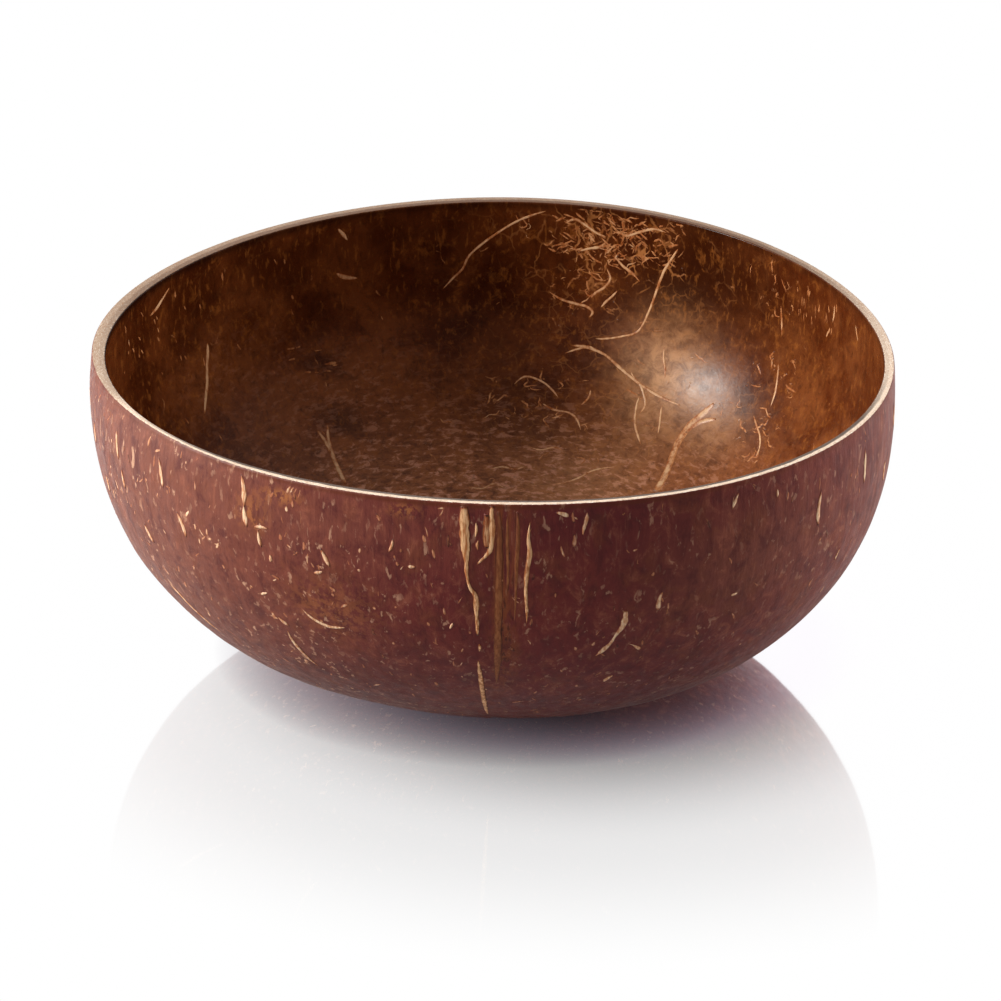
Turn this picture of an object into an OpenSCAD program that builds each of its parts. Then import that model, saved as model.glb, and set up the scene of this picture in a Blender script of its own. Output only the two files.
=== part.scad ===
// Bowl made from half a coconut: the nut's hard shell, sawn across, sanded
// flat at the rim and under the foot, and oiled.
// Its own fibres still lie in grooves of the wall: strands of husk outside,
// with a bundle of them in each of the nut's three seams, and the nut's
// food veins inside. Each strand is a solid of its own, seated in the groove
// that the wall has for it.
// The origin is the middle of the foot, on the table. +Z is up. The front,
// with the seam that faces the viewer, is towards -Y, at azimuth 270.

/* [Bowl] */
// Distance across the widest place, on average
widest_d = 141; // [110:1:170]
// Height from the table to the rim
bowl_h = 59.5; // [54:0.5:75]
// Height of the widest place above the table
widest_h = 53; // [40:0.5:56]
// Distance across the sanded foot
foot_d = 50; // [35:1:70]
// How full the side is: 2 is a plain oval, more is squarer
fullness = 2.3; // [2:0.05:2.6]

/* [Wall] */
// Thickness of the side wall
wall = 2.2; // [1.6:0.1:4]
// Thickness of the wall in the middle of the foot
floor_t = 4; // [3:0.1:7]
// How far the hollow lies off the outside's middle
hollow_shift = 0.55; // [0:0.05:0.6]
// Azimuth towards which the hollow lies, in degrees
hollow_az = 315; // [0:1:359]
// Radius of the sanded edges of the rim
rim_round = 0.3; // [0.2:0.05:0.75]

/* [Out of round] */
// Height of the nut's three rounded corners over its mean radius
corner_rise = 1.4; // [0:0.05:2.5]
// Azimuth of the first corner, in degrees
corner_az = 78; // [0:1:119]
// How much longer than the mean radius the bowl's long half axis is
oval_rise = 1.1; // [0:0.05:2]
// Azimuth of the long axis, in degrees
oval_az = 152; // [0:1:179]

/* [Strands] */
// Width of the strands in the seams
seam_w = 1.6; // [0.6:0.1:2.4]
// Width of the loose husk fibres
husk_w = 0.9; // [0.4:0.1:1.4]
// Length of the short husk fibres
husk_len = 5; // [2:0.5:8]
// Width of the main vein
main_vein_w = 1.8; // [0.8:0.1:2.4]
// Width of the other veins
vein_w = 0.8; // [0.4:0.1:1.2]
// How far a strand stands out of the wall
proud = 0.25; // [0.15:0.05:0.5]
// How deep a strand's groove is
groove = 0.5; // [0.4:0.05:0.8]

/* [Detail] */
// Facets around the bowl
around = 72; // [48:6:90]
// Facets from the foot to the rim outside
up_outside = 16; // [8:1:20]
// Facets from the middle of the floor to the rim inside
up_inside = 15; // [8:1:20]

/* [Hidden] */

// Arcs of the sanded rim, in facets
rim_steps = 3;
// Step, in degrees, with which a skin's slope is measured
probe = 0.5;
// A nut has three corners, with a seam between each two
corners = 3;
front_seam_az = 270;
// The quarter turn of the rim's rounded edges, in degrees
quarter_deg = 90;
// The longest step along a strand, as a share of the widest radius. Longer
// steps are split, so that a strand follows the curve of its skin.
step_share = 0.1;
// A strand's section, as shares of its half width and of its height out of
// the wall or depth in it: [across, up or down]
section_shares = [[1, -0.3], [0.5, 1], [-0.5, 1], [-1, -0.3], [-0.5, -1], [0.5, -1]];
// The outline of a short fibre: [along it, width], as shares
short_shares = [[-0.5, 0], [-0.2, 1], [0.25, 0.8], [0.5, 0]];

shell_colour = "#6b3a33";
fibre_colour = "#d8b48c";
vein_colour = "#b98a5c";

// The two skins are the same kind of surface: [radius, depth, shift]. Depth
// runs from the widest place down to where the skin would close, and the
// shift is [right, back].
widest_r = widest_d / 2;
foot_angle = asin(pow(foot_d / widest_d, fullness / 2));
outer = [widest_r, widest_h / pow(cos(foot_angle), 2 / fullness), [0, 0]];
inner = [widest_r - wall, widest_h - floor_t, hollow_shift * [cos(hollow_az), sin(hollow_az)]];

function swell(x, power) = sign(x) * pow(abs(x), power);

// How far the bowl reaches at an azimuth, as a share of its mean radius
function reach(az) =
    1 + (corner_rise * cos(corners * (az - corner_az)) + oval_rise * cos(2 * (az - oval_az))) / widest_r;

// The point of a skin at an azimuth and at an angle that runs from 0 at the
// middle of the floor, through 90 at the widest place
function skin_point(skin, az, angle) =
    let (r = skin[0] * pow(sin(angle), 2 / fullness) * reach(az))
    [
        r * cos(az) + skin[2][0],
        r * sin(az) + skin[2][1],
        widest_h - skin[1] * swell(cos(angle), 2 / fullness)
    ];

// The angle at which a skin is at a height
function angle_at(skin, z) = acos(-swell((z - widest_h) / skin[1], fullness / 2));

function unit(v) = v / norm(v);

// Which way a skin faces, away from the wall's middle
function facing(skin, az, angle) =
    let (
        along = skin_point(skin, az + probe, angle) - skin_point(skin, az - probe, angle),
        up = skin_point(skin, az, angle + probe) - skin_point(skin, az, angle - probe)
    )
    unit(cross(along, up)) * (skin == inner ? -1 : 1);

// The wall: rings of points from the foot's edge up the outside, over the
// rim, and down the inside to the middle of the floor
outer_top = angle_at(outer, bowl_h - rim_round);
inner_top = angle_at(inner, bowl_h - rim_round);
azimuths = [for (i = [0:around - 1]) i * 360 / around];

// A ring of the rounded rim: an edge point drawn in by a share of the round
function rim_ring(skin, top, turn, side) = [
    for (az = azimuths)
        let (edge = skin_point(skin, az, top))
        [
            edge[0] - side * rim_round * (1 - cos(turn)) * cos(az),
            edge[1] - side * rim_round * (1 - cos(turn)) * sin(az),
            edge[2] + rim_round * sin(turn)
        ]
];

wall_rings = concat(
    [for (i = [0:up_outside])
        let (angle = foot_angle + (outer_top - foot_angle) * i / up_outside)
        [for (az = azimuths) skin_point(outer, az, angle)]],
    [for (i = [1:rim_steps]) rim_ring(outer, outer_top, quarter_deg * i / rim_steps, 1)],
    [for (i = [rim_steps:-1:1]) rim_ring(inner, inner_top, quarter_deg * i / rim_steps, -1)],
    [for (i = [up_inside:-1:1])
        [for (az = azimuths) skin_point(inner, az, inner_top * i / up_inside)]]
);

// Two triangles for each step along and between rings of count points
function band_faces(rings, count) = [
    for (i = [0:rings - 2], j = [0:count - 1])
        let (a = i * count + j, b = i * count + (j + 1) % count)
        each [[a, a + count, b], [b, a + count, b + count]]
];

module plain_wall() {
    rings = len(wall_rings);
    last = (rings - 1) * around;
    polyhedron(
        points = concat(
            [for (ring = wall_rings) each ring],
            [[0, 0, 0]],
            [skin_point(inner, 0, 0)]
        ),
        faces = concat(
            band_faces(rings, around),
            [for (j = [0:around - 1]) [j, (j + 1) % around, rings * around]],
            [for (j = [0:around - 1]) [last + (j + 1) % around, last + j, rings * around + 1]]
        )
    );
}

// A route is a list of [azimuth, height share, width share]. Its long steps
// are split evenly.
function finer(skin, route) =
    let (places = [for (stop = route) skin_point(skin, stop[0], angle_at(skin, stop[1] * bowl_h))])
    concat(
        [
            for (i = [0:len(route) - 2])
                let (parts = ceil(norm(places[i + 1] - places[i]) / (step_share * widest_r)))
                for (part = [0:parts - 1]) route[i] + (route[i + 1] - route[i]) * part / parts
        ],
        [route[len(route) - 1]]
    );

// One strand, half sunk in a skin. Its two ends are sunk to the groove's depth.
module strand(skin, route, width) {
    stops = finer(skin, route);
    last = len(stops) - 1;
    spots = [
        for (stop = stops)
            let (angle = angle_at(skin, stop[1] * bowl_h))
            [skin_point(skin, stop[0], angle), facing(skin, stop[0], angle), stop[2] * width / 2]
    ];
    rings = [
        for (i = [1:last - 1])
            let (
                out = spots[i][1],
                across = unit(cross(spots[i + 1][0] - spots[i - 1][0], out))
            )
            each [
                for (s = section_shares)
                    spots[i][0] + across * s[0] * spots[i][2] + out * s[1] * (s[1] > 0 ? proud : groove)
            ]
    ];
    sides = len(section_shares);
    count = len(rings);
    polyhedron(
        points = concat(
            rings,
            [spots[0][0] - spots[0][1] * groove],
            [spots[last][0] - spots[last][1] * groove]
        ),
        faces = concat(
            [for (f = band_faces(last - 1, sides)) [f[0], f[2], f[1]]],
            [for (j = [0:sides - 1]) [j, count, (j + 1) % sides]],
            [for (j = [0:sides - 1]) [count - sides + (j + 1) % sides, count + 1, count - sides + j]]
        )
    );
}

module strands(skin, routes, width) {
    for (route = routes) strand(skin, route, width);
}

// Short fibres. Each is [azimuth, height share, length share, lean], with
// the lean in degrees from upright, clockwise as seen from outside.
function short_route(spot) = [
    for (s = short_shares)
        let (
            step = s[0] * spot[2] * husk_len,
            turn = step * sin(spot[3]) / (widest_r * PI) * 180
        )
        [spot[0] + turn, spot[1] + step * cos(spot[3]) / bowl_h, s[1]]
];

module short_fibres(spots) {
    for (spot = spots) strand(outer, short_route(spot), husk_w);
}

// The seam that faces front: a broad pale strand that narrows and wanders
// down to the foot, a patch beside it, brown strands, and one to the right.
front_seam_shares = [
    [[265.4, 0.985, 0], [265.5, 0.95, 1], [265.6, 0.9, 1], [265.6, 0.86, 0.8], [265.9, 0.82, 0.4],
        [265.9, 0.785, 0.4], [266.3, 0.74, 0.35], [267.1, 0.7, 0.4], [267.2, 0.65, 0.5],
        [267.3, 0.61, 0.4], [267.3, 0.57, 0]],
    [[267.3, 0.475, 0], [267.4, 0.44, 0.5], [267.6, 0.38, 0.6], [267.8, 0.3, 0.6], [268.1, 0.22, 0.5],
        [268.4, 0.15, 0]],
    [[269.3, 0.985, 0], [269, 0.955, 0.7], [268.8, 0.91, 0.7], [268.8, 0.875, 0.4], [268.3, 0.845, 0]],
    [[270.6, 0.98, 0], [270.7, 0.9, 0.5], [270.5, 0.75, 0.6], [270.4, 0.6, 0.6], [270.4, 0.45, 0.5],
        [270.3, 0.36, 0]],
    [[272.6, 0.98, 0], [272.7, 0.9, 0.5], [272.5, 0.78, 0.5], [272.6, 0.68, 0.4], [272.4, 0.6, 0]],
    [[274.8, 0.955, 0], [274.5, 0.9, 0.4], [274.7, 0.85, 0.6], [274.3, 0.79, 0.6], [274.2, 0.72, 0.4],
        [274.4, 0.66, 0.35], [274.4, 0.61, 0]]
];

// The other two seams lie a third of a turn on, out of sight behind.
back_seam_shares = [
    [[-2.6, 0.96, 0], [-2.8, 0.9, 0.7], [-2.5, 0.8, 0.8], [-2.2, 0.7, 0.5], [-2.4, 0.6, 0.4],
        [-2.2, 0.5, 0]],
    [[0, 0.9, 0], [0.2, 0.8, 0.6], [0, 0.65, 0.7], [0.3, 0.5, 0.7], [0.1, 0.35, 0.6], [0, 0.24, 0]],
    [[2.6, 0.97, 0], [2.4, 0.9, 0.4], [2.7, 0.8, 0.4], [2.5, 0.7, 0.6], [2.8, 0.62, 0.4], [2.6, 0.55, 0]]
];

module back_seam(middle) {
    for (route = back_seam_shares)
        strand(outer, [for (stop = route) [middle + stop[0], stop[1], stop[2]]], seam_w);
}

front_husk_shares = [
    [[288, 0.645, 0], [287.8, 0.6, 0.9], [287.4, 0.565, 0.8], [286.6, 0.53, 1], [285.8, 0.495, 0]],
    [[282.6, 0.975, 0], [282.5, 0.95, 0.6], [282.1, 0.92, 0.5], [282, 0.9, 0]]
];
front_short_shares = [
    [288, 0.38, 0.6, 30], [263.5, 0.6, 0.4, 20], [279.2, 0.968, 0.5, -70], [255, 0.85, 0.5, 20],
    [291.5, 0.5, 0.35, 80], [258, 0.79, 0.3, 85]
];

left_husk_shares = [
    [[236.3, 0.49, 0], [236.3, 0.455, 0.6], [236.8, 0.415, 0.7], [237.8, 0.375, 0.6], [239, 0.345, 0]],
    [[240, 0.59, 0], [241.5, 0.56, 0.5], [243.8, 0.54, 0.6], [245.5, 0.54, 0.5], [247, 0.545, 0]],
    [[223.8, 0.595, 0], [225.8, 0.58, 0.6], [227.8, 0.57, 0.6], [229.5, 0.55, 0]]
];
left_short_shares = [
    [203.6, 0.88, 0.9, -15], [205, 0.785, 0.8, -10], [215.4, 0.885, 0.9, -20], [219.5, 0.75, 1.1, -20],
    [231.6, 0.935, 1.1, -8], [232.1, 0.855, 0.8, -10], [234.8, 0.83, 0.6, 85], [234.5, 0.795, 0.7, -8],
    [245, 0.78, 0.8, -25], [236, 0.74, 0.35, 0], [243.8, 0.73, 0.4, 70], [234, 0.61, 0.4, 60],
    [236.2, 0.52, 0.6, -40], [210.4, 0.65, 0.9, -25], [192, 0.82, 0.9, 5], [197, 0.7, 0.8, -10],
    [183, 0.86, 0.7, 10]
];

right_short_shares = [
    [293.4, 0.665, 1, 5], [319.4, 0.82, 1.4, 0], [304, 0.943, 0.6, 25], [310.8, 0.93, 0.3, 0],
    [305, 0.635, 0.3, 80], [330.8, 0.86, 1.2, 0], [326, 0.62, 0.6, 15], [341, 0.76, 1, -8],
    [347, 0.88, 0.7, 10], [353, 0.66, 0.9, 0]
];

// The side that the picture doesn't show has short fibres too, spread by the
// golden angle between the two seams at the back.
back_fibres = 12;
golden_deg = 137.5;
// Azimuth where they start, how many degrees they cover, and their lean
back_start_az = 40;
back_span_deg = 100;
back_lean_deg = 12;
// The lowest one's height, the height that they cover, and their lengths
back_low_share = 0.44;
back_rise_share = 0.46;
back_shortest_share = 0.7;
back_longer_share = 0.5;
back_short_shares = [
    for (i = [0:back_fibres - 1])
        let (across = (i * golden_deg % 360) / 360, up = i / (back_fibres - 1))
        [
            back_start_az + back_span_deg * across,
            back_low_share + back_rise_share * up,
            back_shortest_share + back_longer_share * across,
            back_lean_deg * cos(180 * up)
        ]
];

main_vein_shares = [
    [[77.6, 0.545, 0], [75, 0.545, 0.4], [71.5, 0.53, 0.4], [68.4, 0.5, 0.5], [64.8, 0.472, 0.5],
        [61, 0.452, 0.5], [57.5, 0.443, 0.4], [55, 0.44, 0]],
    [[49, 0.455, 0], [50.3, 0.42, 0.8], [52, 0.385, 1], [52.4, 0.35, 1], [51.8, 0.315, 1.1],
        [51, 0.28, 0.9], [50.6, 0.24, 0]]
];

right_vein_shares = [
    [[63.6, 0.44, 0], [63.6, 0.41, 0.8], [63, 0.375, 1], [61.8, 0.35, 0.9], [59.6, 0.32, 0]],
    [[61.2, 0.59, 0], [60.8, 0.55, 0.8], [60, 0.52, 0.7], [59.6, 0.49, 0]],
    [[58.6, 0.43, 0], [58.4, 0.41, 0.8], [57.6, 0.375, 0.7], [57.2, 0.355, 0]],
    [[39, 0.49, 0], [36.8, 0.465, 0.7], [34.8, 0.445, 0.8], [33.4, 0.42, 0.7], [32.8, 0.39, 0]],
    [[38.6, 0.84, 0], [38.2, 0.8, 0.7], [37.8, 0.765, 0.7], [37.5, 0.735, 0]],
    [[37.2, 0.66, 0], [36.5, 0.62, 0.7], [35.8, 0.57, 0.8], [35.6, 0.52, 0]],
    [[23.2, 0.945, 0], [23.2, 0.92, 1], [23.4, 0.9, 0.8], [23.8, 0.875, 0]],
    [[24.4, 0.86, 0], [24.7, 0.845, 0.8], [25.2, 0.83, 0.8], [25.6, 0.815, 0]],
    [[15.2, 0.94, 0], [15, 0.92, 0.9], [14.6, 0.905, 0.8], [14, 0.89, 0]]
];

back_vein_shares = [
    [[82, 0.975, 0], [84.6, 0.955, 0.7], [87.2, 0.93, 0.7], [90.2, 0.89, 0.8], [92.8, 0.85, 0.8],
        [94.6, 0.815, 0.7], [95.6, 0.775, 0.7], [97.2, 0.745, 0.6], [99.2, 0.705, 0]],
    [[82, 0.705, 0], [79.6, 0.68, 0.8], [77, 0.67, 1], [75.4, 0.665, 1], [74.4, 0.65, 0.8], [75, 0.63, 0]],
    [[75, 0.69, 0], [74.2, 0.71, 0.8], [72.6, 0.735, 0.8], [71.8, 0.765, 0.8], [72.6, 0.8, 0]],
    [[73.2, 0.665, 0], [72.4, 0.685, 0.8], [71.2, 0.71, 0.7], [70.4, 0.73, 0]],
    [[71.6, 0.85, 0], [70, 0.815, 0.9], [68, 0.79, 0.8], [66.6, 0.765, 0]],
    [[60, 0.89, 0], [61.8, 0.85, 0.9], [63.6, 0.8, 0.8], [64.8, 0.75, 0.8], [65.3, 0.69, 0.7],
        [66.4, 0.62, 0]],
    [[73, 0.572, 0], [71, 0.576, 0.6], [69, 0.584, 0.6], [67.2, 0.592, 0]],
    [[79.6, 0.93, 0], [77.8, 0.95, 0.9], [76.2, 0.935, 0.9], [74.2, 0.91, 0.9], [72.4, 0.9, 0]],
    [[71.4, 0.935, 0], [69.4, 0.915, 1], [67, 0.935, 0.9], [64.4, 0.955, 0.8], [62, 0.95, 0]],
    [[77.4, 0.84, 0], [75.4, 0.855, 1], [73.6, 0.865, 1], [72.6, 0.885, 0]]
];

left_vein_shares = [
    [[143.2, 0.72, 0], [143.5, 0.69, 0.8], [144.4, 0.65, 0.8], [145.4, 0.605, 0.9], [147, 0.565, 0.8],
        [148.8, 0.525, 0]],
    [[125.4, 0.36, 0], [125.8, 0.335, 0.8], [126.4, 0.305, 0.9], [127, 0.275, 0.8], [127.6, 0.25, 0]],
    [[116.2, 0.96, 0], [115.6, 0.945, 0.7], [115, 0.93, 0.7], [114.4, 0.91, 0]],
    [[116.6, 0.81, 0], [115.6, 0.795, 1], [114.2, 0.785, 0.9], [112.8, 0.78, 0]],
    [[151.6, 0.96, 0], [153.6, 0.935, 0.7], [155.6, 0.915, 0.7], [157.6, 0.905, 0]]
];

floor_vein_shares = [
    [[87.4, 0.425, 0], [86, 0.445, 0.6], [84.6, 0.452, 0.7], [82, 0.44, 0.7], [80, 0.42, 0.7],
        [78.6, 0.4, 0]],
    [[82.4, 0.39, 0], [79.4, 0.372, 0.8], [76.4, 0.368, 0.8], [74.6, 0.355, 0.8], [73, 0.325, 0]],
    [[74.4, 0.388, 0], [73.6, 0.4, 0.7], [73, 0.415, 0.7], [73, 0.435, 0]],
    [[77, 0.212, 0], [74, 0.218, 0.8], [71, 0.23, 0.9], [67.6, 0.252, 0.8], [62, 0.27, 0]],
    [[92, 0.235, 0], [89, 0.24, 0.8], [86, 0.236, 0.7], [83, 0.245, 0]],
    [[98, 0.205, 0], [94, 0.2, 0.8], [91, 0.208, 0.8], [88, 0.2, 0]],
    [[84, 0.285, 0], [81, 0.278, 0.8], [78, 0.286, 0.7], [75.5, 0.28, 0]]
];

module front_seam_fibres() {
    color(fibre_colour) strands(outer, front_seam_shares, seam_w);
}

module back_left_seam_fibres() {
    color(fibre_colour) back_seam(front_seam_az - 360 / corners);
}

module back_right_seam_fibres() {
    color(fibre_colour) back_seam(front_seam_az + 360 / corners);
}

module front_husk_fibres() {
    color(fibre_colour) {
        strands(outer, front_husk_shares, husk_w);
        short_fibres(front_short_shares);
    }
}

module left_husk_fibres() {
    color(fibre_colour) {
        strands(outer, left_husk_shares, husk_w);
        short_fibres(left_short_shares);
    }
}

module right_husk_fibres() {
    color(fibre_colour) short_fibres(right_short_shares);
}

module back_husk_fibres() {
    color(fibre_colour) short_fibres(back_short_shares);
}

module main_vein() {
    color(vein_colour) strands(inner, main_vein_shares, main_vein_w);
}

module right_veins() {
    color(vein_colour) strands(inner, right_vein_shares, vein_w);
}

module back_veins() {
    color(vein_colour) strands(inner, back_vein_shares, vein_w);
}

module left_veins() {
    color(vein_colour) strands(inner, left_vein_shares, vein_w);
}

module floor_veins() {
    color(vein_colour) strands(inner, floor_vein_shares, vein_w);
}

// The wall with a groove for each strand
module shell() {
    color(shell_colour) difference() {
        plain_wall();
        front_seam_fibres();
        back_left_seam_fibres();
        back_right_seam_fibres();
        front_husk_fibres();
        left_husk_fibres();
        right_husk_fibres();
        back_husk_fibres();
        main_vein();
        right_veins();
        back_veins();
        left_veins();
        floor_veins();
    }
}

shell();
front_seam_fibres();
back_left_seam_fibres();
back_right_seam_fibres();
front_husk_fibres();
left_husk_fibres();
right_husk_fibres();
back_husk_fibres();
main_vein();
right_veins();
back_veins();
left_veins();
floor_veins();
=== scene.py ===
# %% [markdown]
# # A bowl made from half a coconut
#
# The real object is half of a nut's hard shell, sawn, sanded and oiled, with
# its fibres and veins still in it. The imported model gives the wall and each
# strand at its true size. This notebook gives them their looks: skins with
# the unevenness of a thing that grew, a sawn rim, strands that are thin and
# frayed, and finishes that change from place to place.
#
# The first cell loads the imported model and gives a way to read a part's box.
# The dressed bowl has to stay the same size.

# %% Load the imported bowl
import math

import bpy
import numpy as np
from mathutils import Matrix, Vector


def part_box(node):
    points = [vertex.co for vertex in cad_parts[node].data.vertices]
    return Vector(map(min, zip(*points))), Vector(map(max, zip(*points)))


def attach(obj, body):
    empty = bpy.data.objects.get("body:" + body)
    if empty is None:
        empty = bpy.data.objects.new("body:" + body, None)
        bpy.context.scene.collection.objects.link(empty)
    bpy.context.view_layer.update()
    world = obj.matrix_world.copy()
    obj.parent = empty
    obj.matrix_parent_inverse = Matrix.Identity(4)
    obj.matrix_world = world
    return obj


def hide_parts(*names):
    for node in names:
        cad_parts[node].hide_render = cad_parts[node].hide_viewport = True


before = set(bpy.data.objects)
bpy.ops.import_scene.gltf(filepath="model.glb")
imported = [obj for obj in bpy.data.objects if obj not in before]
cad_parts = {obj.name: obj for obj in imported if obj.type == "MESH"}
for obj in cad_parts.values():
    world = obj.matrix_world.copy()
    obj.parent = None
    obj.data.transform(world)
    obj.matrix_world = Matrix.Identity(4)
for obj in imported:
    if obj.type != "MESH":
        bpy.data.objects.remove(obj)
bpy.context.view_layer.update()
MM = 0.001

# %% [markdown]
# ## Sizes
#
# The bowl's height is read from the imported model. The other sizes are the
# ones that its source gives, in millimetres made metres.

# %% Sizes of the bowl
bowl_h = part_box("shell")[1].z
widest_r, widest_h = 70.5 * MM, 53 * MM
rim_r, foot_r = 70 * MM, 25 * MM
fullness = 2.3
wall, floor_t = 2.2 * MM, 4 * MM
hollow_shift, hollow_az = 0.55 * MM, 315
rim_round = 0.3 * MM
corners = 3
corner_rise, corner_az = 1.4 * MM, 78
oval_rise, oval_az = 1.1 * MM, 152
front_seam_az = 270
print("height in mm:", round(bowl_h / MM, 2), "seams:", corners, "from azimuth", front_seam_az)

# %% [markdown]
# ## The camera
#
# The photograph was taken from well above the rim with a long lens, so the
# bowl shows little perspective. The camera's place is measured from the
# middle of the rim. It isn't aimed there but lower, at the point that the
# middle of the picture shows.

# %% Camera
picture_px = 1001
rim_middle_px = (495.8, 343.1)
rim_radius_px = 394.3
camera_height_deg = 23
camera_distance = 14 * rim_r
sensor = 36

rim_middle = Vector((0, 0, bowl_h))
tilt = math.radians(camera_height_deg)
camera_back = Vector((0, -math.cos(tilt), math.sin(tilt)))
camera_up = Vector((0, math.sin(tilt), math.cos(tilt)))
metres_per_px = rim_r / rim_radius_px
aim = rim_middle + Vector((1, 0, 0)) * (picture_px / 2 - rim_middle_px[0]) * metres_per_px
aim -= camera_up * (picture_px / 2 - rim_middle_px[1]) * metres_per_px

camera_data = bpy.data.cameras.new("camera")
camera_data.sensor_width = sensor
camera_data.lens = sensor * rim_radius_px * camera_distance / rim_r / picture_px
camera = bpy.data.objects.new("camera", camera_data)
camera.location = rim_middle + camera_back * camera_distance
camera.rotation_euler = (aim - camera.location).to_track_quat("-Z", "Y").to_euler()
bpy.context.collection.objects.link(camera)
bpy.context.scene.camera = camera
print("lens in mm:", round(camera_data.lens, 1))

# %% [markdown]
# ## The two skins
#
# A nut is nearly a turned shape, but its side is fuller than an oval and its
# outline has three soft corners. Both skins of the wall follow one formula
# in two parameters: the azimuth, and an angle that is 0 at the middle of the
# floor and 90 degrees at the widest place. A formula gives a point for any
# pair of parameters, so the wall, the rim and every strand can share it.

# %% Formulas of the skins
def swell(x, power):
    """The size of x to a power, with the sign of x."""
    return np.sign(x) * np.abs(x) ** power


foot_angle = math.degrees(math.asin((foot_r / widest_r) ** (fullness / 2)))
OUTSIDE = (widest_r, widest_h / math.cos(math.radians(foot_angle)) ** (2 / fullness), (0, 0))
shift = [hollow_shift * turned(math.radians(hollow_az)) for turned in (math.cos, math.sin)]
INSIDE = (widest_r - wall, widest_h - floor_t, shift)


def ring_radius(skin, angle):
    """The mean radius of a skin at an angle: its widest radius times sin(angle)^(2/fullness)."""
    return skin[0] * np.sin(np.radians(angle)) ** (2 / fullness)


def reach(az):
    """1 plus a wave with three crests round the bowl and one with two, over the mean radius."""
    three = corner_rise * np.cos(np.radians(corners * (az - corner_az)))
    two = oval_rise * np.cos(np.radians(2 * (az - oval_az)))
    return 1 + (three + two) / widest_r


def skin_point(skin, az, angle):
    """The mean radius times the reach at that azimuth out, and depth times
    cos(angle)^(2/fullness) down from the widest place."""
    _, depth, shift = skin
    down = depth * swell(np.cos(np.radians(angle)), 2 / fullness)
    out = ring_radius(skin, angle) * reach(az)
    turn, out, up = np.broadcast_arrays(np.radians(az), out, widest_h - down)
    return np.stack([out * np.cos(turn) + shift[0], out * np.sin(turn) + shift[1], up], -1)


def angle_at(skin, z):
    """The angle at which a skin is at a height: the skin's formula solved for the angle."""
    return np.degrees(np.arccos(-swell((z - widest_h) / skin[1], fullness / 2)))


def facing(skin, az, angle):
    """The unit normal, away from the wall: the cross product of the skin's two slopes."""
    step = 0.2
    along = skin_point(skin, az + step, angle) - skin_point(skin, az - step, angle)
    up = skin_point(skin, az, angle + step) - skin_point(skin, az, angle - step)
    normal = np.cross(along, up)
    normal /= np.linalg.norm(normal, axis=-1, keepdims=True)
    return normal if skin is OUTSIDE else -normal


def grain_place(skin, az, angle):
    """Coordinates that run with the nut's grain: round it on a circle, and up it by arc length.
    A circle has no seam, so patterns on it have none either, and it shrinks towards the
    middle of the floor as the skin does, so they aren't squeezed there."""
    turn, climb = np.broadcast_arrays(np.radians(az), np.radians(angle) * (skin[0] + skin[1]) / 2)
    radius = ring_radius(OUTSIDE, angle)
    return np.stack([radius * np.cos(turn), radius * np.sin(turn), climb], -1)


outer_top = float(angle_at(OUTSIDE, bowl_h - rim_round))
inner_top = float(angle_at(INSIDE, bowl_h - rim_round))
print("angles at the foot and the rim:", [round(a, 1) for a in (foot_angle, outer_top, inner_top)])

# %% [markdown]
# ## Unevenness
#
# Nothing that grew is smooth. Lattice noise gives each corner of a grid of
# cubes a random height and blends between them, so it is even in every
# direction and needs no map of the surface. A few sizes of it, added to the
# skins along their normals, give the soft lumps that bend the reflections.

# %% Noise and relief
table_size, primes = 4096, np.array([73856093, 19349663, 83492791])


def lattice_noise(points, cell, seed):
    """Random values from -1 to 1 at the corners of cubes with side cell, blended with the
    smooth step 3t^2 - 2t^3 between the eight corners round each point. A corner's place,
    multiplied by primes, picks its value from a table."""
    table = np.random.default_rng(seed).uniform(-1, 1, table_size)
    place = np.asarray(points) / cell
    corner = np.floor(place).astype(np.int64)
    t = place - corner
    t = t * t * (3 - 2 * t)
    total = np.zeros(place.shape[:-1])
    for step in np.ndindex(2, 2, 2):
        x, y, z = np.moveaxis((corner + np.array(step)) * primes, -1, 0)
        value = table[(x ^ y ^ z) % table_size]
        total += value * np.prod(np.where(step, t, 1 - t), axis=-1)
    return total


def near(value, middle, spread):
    """A bell curve: 1 at the middle, falling off over the spread."""
    return np.exp(-(((value - middle) / spread) ** 2))


def towards(az, middle, spread):
    """The same bell curve, measured round the bowl."""
    return near((np.asarray(az) - middle + 180) % 360, 180, spread)


def from_seam(az):
    """Distance round the bowl to the nearest seam, in metres, negative before it."""
    turn = 360 / corners
    degrees = (np.asarray(az) - front_seam_az + turn / 2) % turn - turn / 2
    return np.radians(degrees) * widest_r


shoulder_in, shoulder_az, shoulder_spread, shoulder_from = 1.2 * MM, 211, 22, 50 * MM
channel_w, edge_fade = 4.6 * MM, 3


def sanded_in(az, z):
    """How far the sanding has taken the outside in, under the rim on the left: a bell curve
    round the bowl, times the share of the height over the shoulder's foot, to the power 2.2."""
    over = np.clip((z - shoulder_from) / (bowl_h - shoulder_from), 0, 1)
    return shoulder_in * towards(az, shoulder_az, shoulder_spread) * over**2.2


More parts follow.
